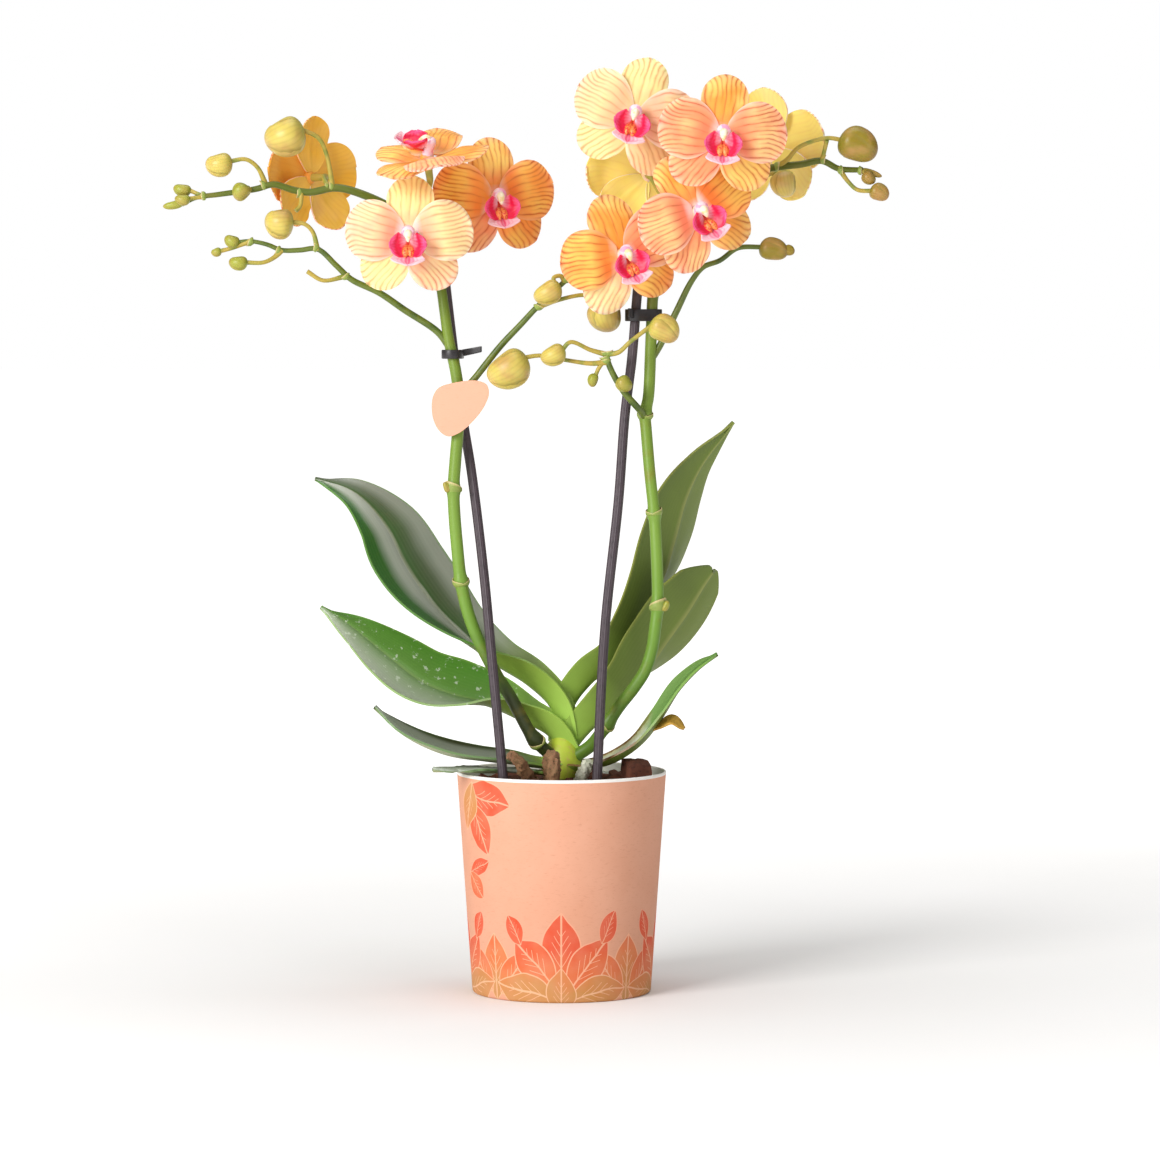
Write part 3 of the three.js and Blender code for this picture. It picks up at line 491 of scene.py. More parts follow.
def bractFinish():
    # a scale in the stalk's green that dries to tan along its margin
    material, add = newMaterial("bractSkin", Roughness=0.55)
    along = sheetPlace(add)[1]
    dried = add("MapRange", add("MULTIPLY_ADD", grain(add, 1.5), 0.2, along), 0.8, 1.05)
    return dress(material, Base_Color=layered(add, "7C9440", (grain(add, 4), "96A24C"), (dried, "CDB982")),
                 Normal=add("Bump", 0.2, 0.1 * mm, None, grain(add, 1.5)))


def budFinish(name, foot, body, tip, flushShare, nerveShare):
    # bud skin: green at its foot, flushed brown-pink in places, with seams between its three sepals and
    # faint lengthwise nerves on the grown ones
    material, add = newMaterial(name, Roughness=0.38, Subsurface_Weight=0.5 * nerveShare, Subsurface_Scale=0.002,
                                Coat_Weight=0.08, Coat_Roughness=0.3, Specular_IOR_Level=0.35)
    across, along, _ = sheetPlace(add)
    flush = add("MapRange", grain(add, 9), 0.45, 0.7, 0, flushShare)
    nerve = add("POWER", add("ABSOLUTE", add("SINE", add("MULTIPLY", across, 21 * math.pi))), 6)
    turned = add("MULTIPLY_ADD", add("COSINE", add("MULTIPLY", along, math.pi)), 0.167, 0.574)
    seam = add("MapRange", add("FRACT", add("MULTIPLY_ADD", across, 3, turned)), 0.14, 0, 0, 0.75)
    seam = add("MULTIPLY", seam, add("MapRange", along, 0.1, 0.4))
    ground = add("ValToRGB", along, stops=[(0, foot), (0.3, body), (0.7, body), (1, tip)])
    dress(material, Base_Color=layered(add, ground, (flush, "B98A55"), (add("MULTIPLY", nerve, nerveShare), "86702E"),
                                       (seam, "8C7A34")))
    if nerveShare:
        dress(material, Normal=add("Bump", 0.15, 0.1 * mm, None, nerve))
    return material


def clipFinish():
    # black moulded plastic with a fine grain from the tool
    material, add = newMaterial("blackClipPlastic", Roughness=0.4, IOR=1.49)
    fine = grain(add, 1.2)
    return dress(material, Base_Color=layered(add, "1C191B", (add("MULTIPLY", fine, 0.1), "7A7278")),
                 Normal=add("Bump", 0.3, 0.05 * mm, None, fine))


def boardFinish(name, colour, shade, fleck, printed=None):
    # uncoated paperboard: short fibres that lie round it, and a faint mottle
    material, add = newMaterial(name, Roughness=0.8)
    drawn = add("Mapping", add("TexCoord").node.outputs["Object"], None, None, (1, 1, 4))
    fibre = grain(add, 2.4, 5, 0.7, drawn)
    board = layered(add, colour, (grain(add, 26, 3), shade), (add("MapRange", fibre, 0.55, 0.75, 0, 0.5), fleck))
    return dress(material, Base_Color=printed(add, board) if printed else board,
                 Normal=add("Bump", 0.25, 0.08 * mm, None, fibre))


# Pot cover

potCover = {
    "height": 100, "topRadius": 47.2, "baseRadius": 40.3, "wall": 1.2, "floor": 2.4, "corner": 1.4,
    "rim": 0.55, "rimBand": 1.4, "seam": 0.22, "segments": 160,
}
potPrint = {
    "cell": 34.36,  # every second repeat of the border is mirrored
    "cornerTurn": 70,  # the corner's leaves come again half way round
    "border": [
        # middle of each leaf round the sleeve and up it, its heading, length, half width, ochre share
        (34.4, 15, 90, 31, 9.0, 0.5), (23.5, 13, 128, 27, 7.6, 0.2), (0.0, 24, 90, 36, 9.5, 0.0),
        (12.5, 17, 50, 31, 8.6, 0.1), (17.5, 4, 12, 33, 8.4, 0.5), (22.5, 33, 64, 15, 4.4, 0.0),
        (0.0, 4, 90, 22, 7.5, 0.6),
    ],
    "corner": [
        (-36, 91, -16, 29, 8.0, 0.0), (-41, 78, -66, 27, 7.6, 0.1), (-48, 87, -108, 24, 6.4, 0.9),
        (-43, 60, 22, 17, 4.4, 0.0), (-46, 51, -50, 17, 5.0, 0.3),
    ],
}


def printed(add, board):
    # water-based ink on the sleeve, which leaves the board bare between its leaf shapes.
    # Round the sleeve is x and up it is y, in millimetres
    girth = math.pi * (potCover["topRadius"] + potCover["baseRadius"])
    across, along, _ = sheetPlace(add)
    x = add("MULTIPLY_ADD", across, girth, -girth / 2)
    y = add("MULTIPLY_ADD", along, potCover["height"], add("MULTIPLY_ADD", grain(add, 24), 9, -4.5))
    folded = add("PINGPONG", add("ADD", x, 1000 * potPrint["cell"]), potPrint["cell"])
    halfTurn = add("WRAP", x, girth / 2 - potPrint["cornerTurn"], -potPrint["cornerTurn"])
    held = add("CombineXYZ")  # place in the topmost leaf, lengthwise and aside, and 1 plus its ochre share
    for place, leaves in ((folded, potPrint["border"]), (halfTurn, potPrint["corner"])):
        spot = add("CombineXYZ", place, y)
        for cx, cy, heading, length, half, ochre in leaves:
            local = add("Mapping", spot, (cx, cy, 0), (0, 0, math.radians(heading)), (length / 2, half, 1),
                        vector_type="TEXTURE")
            lengthwise, aside, _ = add("SeparateXYZ", local).node.outputs
            aside = add("ABSOLUTE", aside)
            inside = add("LESS_THAN", add("MULTIPLY_ADD", lengthwise, lengthwise, aside), 1)
            held = add("Mix", inside, held, add("CombineXYZ", lengthwise, aside, 1 + ochre), data_type="VECTOR")
    lengthwise, aside, tone = add("SeparateXYZ", held).node.outputs
    bow = add("MULTIPLY_ADD", lengthwise, lengthwise, aside)
    slant = add("MULTIPLY_ADD", aside, -0.9, lengthwise)
    nerves = add("GREATER_THAN", add("SINE", add("MULTIPLY", slant, 22)), 0.94)
    nerves = add("MULTIPLY", nerves, add("LESS_THAN", bow, 0.5))
    outlines = add("MAXIMUM", add("GREATER_THAN", bow, 0.93), add("LESS_THAN", aside, 0.045))
    lines = add("MULTIPLY", add("MAXIMUM", outlines, nerves), 0.6)
    low = add("MapRange", add("MULTIPLY_ADD", grain(add, 13), 30, y), 42, 0, -1, -0.1)
    low = add("ADD", low, add("MULTIPLY_ADD", lengthwise, -0.12, tone))
    ink = add("ValToRGB", low, stops=[(0, "DE4A24"), (0.55, "E0763F"), (1, "C88C4A")])
    washed = add("MULTIPLY_ADD", grain(add, 7), 0.5, 0.6)
    patch = add("MULTIPLY", add("GREATER_THAN", tone, 0.5), washed, use_clamp=True)
    return layered(add, board, (patch, layered(add, ink, (lines, "FBD0AC"))))


def addTurned(name, profile, segments, inset=None):
    # a sheet wrapped round the Z axis to the profile's [height, radius] rows, with the seam at the back
    rows = len(profile) - 1

    def wrap(s, t):
        z, radius = profile[round(s * rows)]
        angle = math.pi * t - math.pi / 2
        radius -= inset(t) if inset else 0
        return Vector((radius * math.cos(angle), radius * math.sin(angle), z))

    turned = addSheet(name, segments, rows, wrap)
    layer = turned.data.uv_layers[0]
    highest = max(z for z, radius in profile)
    for loop in turned.data.loops:
        layer.data[loop.index].uv[1] = turned.data.vertices[loop.vertex_index].co.z / mm / highest
    return closeSheet(turned)


def makePotCover():
    size = potCover
    lean = (size["topRadius"] - size["baseRadius"]) / size["height"]

    def wall(z):
        return size["baseRadius"] + lean * z

    def overlap(t):  # the sleeve's glued lap
        return size["seam"] * smoothStep(0.93, 0.945, t)

    corner, top, rim = size["corner"], size["height"], size["rim"]
    profile = [(0.0, wall(corner) - corner)]
    for i in range(1, 5):
        turn = math.pi / 8 * i
        profile.append((corner * (1 - math.cos(turn)), wall(corner) - corner * (1 - math.sin(turn))))
    profile += [(z, wall(z)) for z in (8, 20, 35, 50, 65, 80, 92, top - size["rimBand"])]
    for i in range(7):
        turn = math.pi / 6 * i
        profile.append((top - rim + rim * math.sin(turn), size["topRadius"] - rim + rim * math.cos(turn)))
    profile += [(z, wall(z) - size["wall"]) for z in (96, 70, 40, 12, size["floor"])]
    sleeve = addTurned("pot_sleeve", profile, size["segments"], overlap)
    paint(sleeve, boardFinish("printedKraftBoard", "E6AC90", "DB9A7A", "C28060", printed),
          boardFinish("whiteBoard", "F8F5F0", "F2EEE8", "E9E3DA"))
    for polygon in sleeve.data.polygons:
        x, y, z = polygon.center / mm
        inner = math.hypot(x, y) < wall(z) - size["wall"] * 0.6 and z > size["floor"] - 0.1
        polygon.material_index = int(inner or z > top - size["rimBand"])
    finishPiece(sleeve, "pot_cover", "pot_cover", angle=40)


makePotCover()
print("pot cover ready")


# Nursery pot, bark and roots

liner = {
    "height": 96, "wall": 0.8, "topRadius": 44.2, "baseRadius": 37, "lip": 45.4, "lipDrop": 1.4, "round": 0.3,
    "sides": [(30, 39.2), (60, 41.5)], "segments": 96,
}
barkMix = {
    "top": 91.5, "chips": 95, "chip": (11, 7, 3.6), "seed": 11, "keepOff": 9.5, "reach": 37,
    "chunk": (33.5, -11, 97), "chunkSize": (10, 9, 16),
}
rootPaths = {
    "root_left": [(0, 0, 86), (-9, -14, 92), (-16, -25, 101), (-19.5, -29.5, 107.5), (-23.5, -31, 110)],
    "root_middle": [(0, 0, 86), (-3, -12, 91), (-5, -21, 104), (-4, -25, 109), (-3.5, -28, 104), (-3.5, -29.5, 92)],
    "root_pale": [(0, 0, 86), (7, -11, 92), (10, -16, 101), (12.5, -18, 106)],
}


def makeNurseryPot():
    wall, floor, top, lip, soft = liner["wall"], potCover["floor"], liner["height"], liner["lip"], liner["round"]
    drop, foot, head, middle = top - liner["lipDrop"], liner["baseRadius"], liner["topRadius"], liner["sides"][1]
    profile = [
        (floor, foot), *liner["sides"], (drop, head), (drop, lip - 0.2), (drop + soft, lip), (top - soft, lip),
        (top, lip - soft), (top, head - wall + soft), (top - soft, head - wall), (middle[0], middle[1] - wall),
        (floor + wall, foot - wall),
    ]
    cup = addTurned("nursery_cup", profile, liner["segments"])
    material, add = newMaterial("clearPottingPlastic", Roughness=0.18, IOR=1.49, Alpha=0.42)
    paint(cup, dress(material, Base_Color=layered(add, "DDE3DA", (grain(add, 14, 3), "C9CFC4"))))
    finishPiece(cup, "nursery_pot", "nursery_pot", angle=40)


def roughened(point, size, amount, seed):
    # pushes a point by smooth noise whose lumps are size millimetres
    lump = noise.noise_vector(point / size + Vector((seed, -seed, 2 * seed)))
    return point + lump * amount


def makeBark():
    dice = random.Random(barkMix["seed"])
    noise.seed_set(barkMix["seed"])  # noise_vector draws its places from this
    top, keepOff = barkMix["top"], barkMix["keepOff"]
    rows = [(3.4, 35.6), (40, 38.6), (80, 41.6), (top, 42.4)]
    rows += [(top + 0.3, radius) for radius in (36, 30, 24, 18, 12, 6)]
    chip = startPiece("chip", bpy.ops.mesh.primitive_cube_add, size=1)
    editPiece(chip, (bpy.ops.mesh.subdivide, {"number_cuts": 3, "smoothness": 0.25}))
    chips = [addTurned("bark_plug", rows, 72)]
    for i in range(barkMix["chips"] + 1):
        copied = copyPiece(chip)
        turn = Matrix.Rotation(dice.uniform(0, 2 * math.pi), 3, "Z") @ Matrix.Rotation(
            dice.uniform(-0.5, 0.5), 3, "X") @ Matrix.Rotation(dice.uniform(-0.4, 0.4), 3, "Y")
        size = Vector([edge * dice.uniform(0.6, 1.35) for edge in barkMix["chip"]])
        radius = keepOff + (barkMix["reach"] - keepOff) * math.sqrt(dice.random())
        angle = dice.uniform(0, 2 * math.pi)
        place = Vector((radius * math.cos(angle), radius * math.sin(angle), top + dice.uniform(0.2, 2.6)))
        if i == barkMix["chips"]:  # the big chunk at the right of the rim
            size, place = Vector(barkMix["chunkSize"]), Vector(barkMix["chunk"])
            turn = Matrix.Rotation(0.3, 3, "Z") @ Matrix.Rotation(0.15, 3, "X")
        for vertex in copied.data.vertices:
            shaped = Vector([axis * edge for axis, edge in zip(vertex.co, size)])
            vertex.co = (turn @ roughened(shaped, 3.2, 1.5, i + 0.5) + place) * mm
        chips.append(copied)
    bpy.data.objects.remove(chip)
    mix = paint(joinPieces("bark_chips", chips), grownFinish("pineBark", "4A2418", "7A4630", "2A1512", 9, 0.9, 0.6))
    finishPiece(mix, "bark_mix", "bark_mix", angle=35)


def makeRoots():
    corky = grownFinish("corkyRoot", "9C7A50", "7E4E3C", "4C5230", 4, 0.8, 1)
    velamen = grownFinish("paleRootSkin", "DDD9CC", "BFC4A8", "8E9A70", 5, 0.7, 0.6)
    shown = []
    for seed, (name, path) in enumerate(rootPaths.items()):
        def knobs(s, angle, point, seed=seed):
            grit = Vector((seed, 1.6 * math.cos(angle), 1.6 * math.sin(angle)))
            return 1 + 0.5 * noise.noise(point / 3.0 + grit) + 0.4 * noise.noise(point / 1.2 + grit * 2)
        root = addTube(name, vectors(path), [3, 3, 2.9, 2.7, 2.0], 20, 60, knobs)
        shown.append(paint(root, velamen if name == "root_pale" else corky))
    finishPiece(joinPieces("root_stubs", shown), "roots", "roots", angle=50)


makeNurseryPot()
makeBark()
makeRoots()
print("bark and roots ready")


# Leaves and crown

leaves = {
    "leaf_upper_left": {
        "path": [(0.5, 3, 112), (-4, 5, 128), (-15, 9, 139), (-29.5, 13, 148), (-44, 16, 159), (-58.5, 18, 174),
                 (-71, 21, 191.5), (-80.5, 24, 209.5), (-94.5, 27, 224), (-112.5, 31, 230.5)],
        "half": [8, 10, 11.5, 13, 17, 21, 21, 17, 9, 1], "fold": [72, 66, 60, 42, 25, 16, 12, 10, 8, 0],
        "face": [(0.95, -0.1, 0.3), (0.6, -0.35, 0.7), (0.42, -0.68, 0.6), (0.4, -0.7, 0.6)],
        "joint": 0.24, "tone": "deep", "wave": 1.0,
    },
    "leaf_tall_right": {
        "path": [(1.5, 5, 112), (4.5, 9, 128), (13, 14, 139.5), (24.5, 18, 148.5), (35.5, 21, 165.5), (45, 23, 186),
                 (50.5, 24, 204.5), (55.5, 24, 222.5), (63, 24, 237.5), (78, 24, 256.5)],
        "half": [8, 10, 11.5, 13, 18, 20, 19, 16, 10, 1.5], "fold": [72, 66, 60, 45, 25, 16, 12, 10, 8, 0],
        "face": [(-0.95, 0, 0.3), (-0.6, 0.2, 0.75), (-0.72, 0.6, 0.35), (-0.72, 0.62, 0.3)],
        "joint": 0.24, "tone": "olive", "wave": 0.8,
    },
    "leaf_middle_left": {
        "path": [(1, 0, 105), (-5, 0.5, 116), (-16.5, 3.5, 122.5), (-32, 5, 129.5), (-48, 5, 133.5), (-63, 6, 139.5),
                 (-77.5, 8, 150), (-93.5, 10, 162.5), (-109, 12, 173)],
        "half": [9, 10, 11, 16, 19, 18, 15, 9, 1], "fold": [72, 66, 58, 35, 22, 14, 10, 8, 0],
        "face": [(0.9, 0, 0.4), (0.45, -0.35, 0.8), (0.25, -0.66, 0.7), (0.3, -0.66, 0.68)],
        "joint": 0.22, "tone": "dusted", "wave": 1.0,
    },
    "leaf_broad_right": {
        "path": [(3, 0, 106), (9.5, 2, 115), (18, 5, 124), (27, 9, 133), (35.5, 11, 142), (44.5, 12, 155),
                 (55.5, 13, 170.5), (64, 13, 184), (69, 13, 191)],
        "half": [9, 11, 12.5, 15, 18, 20, 20, 15, 8], "fold": [72, 66, 58, 42, 26, 16, 12, 8, 4],
        "face": [(-0.9, 0.1, 0.4), (-0.6, 0.3, 0.7), (-0.58, 0.66, 0.46), (-0.57, 0.67, 0.46)],
        "joint": 0.24, "tone": "olive", "wave": 0.7, "notch": 0.04, "tip": 1,
    },
    "leaf_lower_left": {
        "path": [(-1, -3, 101), (-9, -6, 102.5), (-19, -9.5, 104.5), (-34, -13, 106.5), (-51.5, -18, 110),
                 (-69, -24, 118.5), (-83, -28, 131)],
        "half": [6, 7, 8.5, 10, 11, 9, 1], "fold": [40, 20, 18, 18, 16, 12, 0],
        "face": [(0.5, 0, 0.85), (0.1, -0.2, 0.97), (0, -0.3, 0.95)],
        "joint": 0.2, "tone": "low", "wave": 0.5,
    },
    "leaf_torn_left": {
        "path": [(-2, -5, 98.6), (-9, -9.5, 99.9), (-17, -14, 101.2), (-30, -19.5, 102), (-44, -24, 102.4),
                 (-57, -28, 103.2)],
        "half": [3, 3.5, 4, 5, 6, 2], "fold": [10, 6, 5, 5, 5, 0], "face": [(0, -0.1, 1), (0, -0.15, 1)],
        "joint": 0.22, "tone": "low", "wave": 1.2, "torn": 0.25,
    },
    "leaf_narrow_right": {
        "path": [(4, -3, 100), (13, -6.5, 102), (24, -11, 106), (35, -15, 114), (44, -17, 125.5), (53, -18, 139.5),
                 (61.5, -19, 148.5), (69.5, -20, 154)],
        "half": [6, 7, 8, 8, 7.5, 7, 5, 1], "fold": [40, 22, 22, 22, 20, 15, 10, 0],
        "face": [(-0.3, 0, 0.95), (-0.35, -0.15, 0.93), (-0.75, -0.25, 0.6), (-0.7, -0.3, 0.6)],
        "joint": 0.16, "tone": "dried", "wave": 0.5, "strip": True,
    },
}
witheredStrip = {
    "path": [(40, -16, 120), (44, -18, 121.5), (49.5, -19, 124), (55, -19, 120.5)],
    "half": [1.6, 2.2, 3.6, 1.4], "fold": [0, 10, 15, 0], "face": [(-0.5, -0.4, 0.8), (0.3, -0.5, 0.8)],
}
leafCells = {"across": 20, "sheath": 18, "blade": 52, "thickness": 2.2, "thin": 0.55, "groove": 0.8, "tip": 0.9}
stem = {"path": [(0, 0, 95.8), (0, 0.5, 102), (0.4, 1.5, 110), (0.8, 3, 118)], "radii": [8, 8.9, 9, 8, 5.5, 2.2]}


def ribbon(spec, seed=0):
    # a blade about its midrib: half widths and fold angles along it, and the way its face looks
    points, face = vectors(spec["path"]), vectors(spec["face"])
    wave, torn, notch = (spec.get(key, 0) for key in ("wave", "torn", "notch"))
    groove, tip = (spec.get(key, leafCells[key]) for key in ("groove", "tip"))

    def shape(s, t):
        if notch:  # two round lobes at the far end
            s *= 1 - (notch * math.exp(-(t / 0.16) ** 2) + 0.13 * abs(t) ** 3) * smoothStep(0.6, 1, s)
        heading = (pathPoint(points, min(s + 0.01, 1)) - pathPoint(points, max(s - 0.01, 0))).normalized()
        side = heading.cross(sampledVector(face, s)).normalized()
        rounding = max((s - tip) / (1 - tip), 0) if tip < 1 else 0
        width = sampled(spec["half"], s) * max(math.sqrt(1 - rounding ** 2), 0.04)
        width *= 1 - torn * abs(noise.noise(Vector((s * 16, t * 1.2 + seed, seed)))) * abs(t) * 2.4
        angle = math.radians(sampled(spec["fold"], s))
        lift = width * abs(t) ** 1.4 * math.sin(angle)
        lift -= groove * math.exp(-(t / 0.07) ** 2) * smoothStep(0.05, 0.3, s) * width / 18
        ripple = noise.noise(Vector((s * 5 + seed, t * 1.4, seed * 1.7)))
        lift += wave * ripple * (0.4 + abs(t)) * smoothStep(0.2, 0.5, s)
        return pathPoint(points, s) + side * (width * t * math.cos(angle)) + side.cross(heading) * lift

    return shape


def leafBlade(name, spec, seed, start, end, along, *finishes):
    # the stretch of a leaf from start to end, thinner towards its long edges
    whole = ribbon(spec, seed)
    sheet = addSheet(name, leafCells["across"], along, lambda s, t: whole(start + (end - start) * s, t))
    group = sheet.vertex_groups.new(name="thick")
    for loop, corner in zip(sheet.data.loops, sheet.data.uv_layers["sheet"].data):
        across, s = corner.uv
        corner.uv[1] = start + (end - start) * s
        group.add([loop.vertex_index], 1 - leafCells["thin"] * abs(2 * across - 1), "REPLACE")
    paint(sheet, *finishes)
    thicken(sheet, leafCells["thickness"], material_offset=1, vertex_group="thick")
    return sheet


def makeLeaves():
    finishes = {
        "deep": leafFinish("deep", "paintedSheenLeafSkin", "deep", 0.95),
        "olive": leafFinish("olive", "oliveLeafSkin", "even", 0.1),
        "dusted": leafFinish("bright", "dustedLeafSkin", "dusted", 0.95, dust=0.65),
        "low": leafFinish("deep", "lowLeafSkin", "low", 0.8),
        "dried": leafFinish("bright", "driedLeafSkin", "even", 0.1, dry=0.9),
    }
    under = leafFinish("olive", "leafUnderside", "even", 0.06, rough=0.55, coat=0)
    # lighter copy of the underside for the low leaves: their own pale grey-green, lightened with painted light
    # against the shade they lie in, and a faint painted sheen
    paleLitUnder = leafFinish("paleLitUnder", "paleLitUnderside", "even", 0.3, rough=0.55, coat=0)
    withered = grownFinish("witheredLeaf", "C8A23C", "B7862F", "8E6A28", 6, 0.6, 0.3)
    crown = addTube("stem", vectors(stem["path"]), stem["radii"], 36, 30)
    sheaths = [paint(crown, grownFinish("crownSkin", "CCDA42", "A4B838", "C4B060", 10, 0.45, 0.2, 0.1))]
    for seed, (name, spec) in enumerate(leaves.items()):
        skins = finishes[spec["tone"]], paleLitUnder if spec["tone"] == "low" else under
        joint = spec["joint"]
        sheaths.append(leafBlade("sheath", spec, seed, 0, joint, leafCells["sheath"], *skins))
        blade = leafBlade(name.replace("leaf_", "blade_"), spec, seed, joint, 1, leafCells["blade"], *skins)
        if spec.get("strip"):
            blade = joinPieces(blade.name, [blade, leafBlade("strip", witheredStrip, 9, 0, 1, 20, withered)])
        finishPiece(blade, "leaves", name, angle=80)
    finishPiece(joinPieces("crown_sheaths", sheaths), "crown", "crown", angle=80)


makeLeaves()
print("leaves ready")


# Flower stalks, buds and bracts

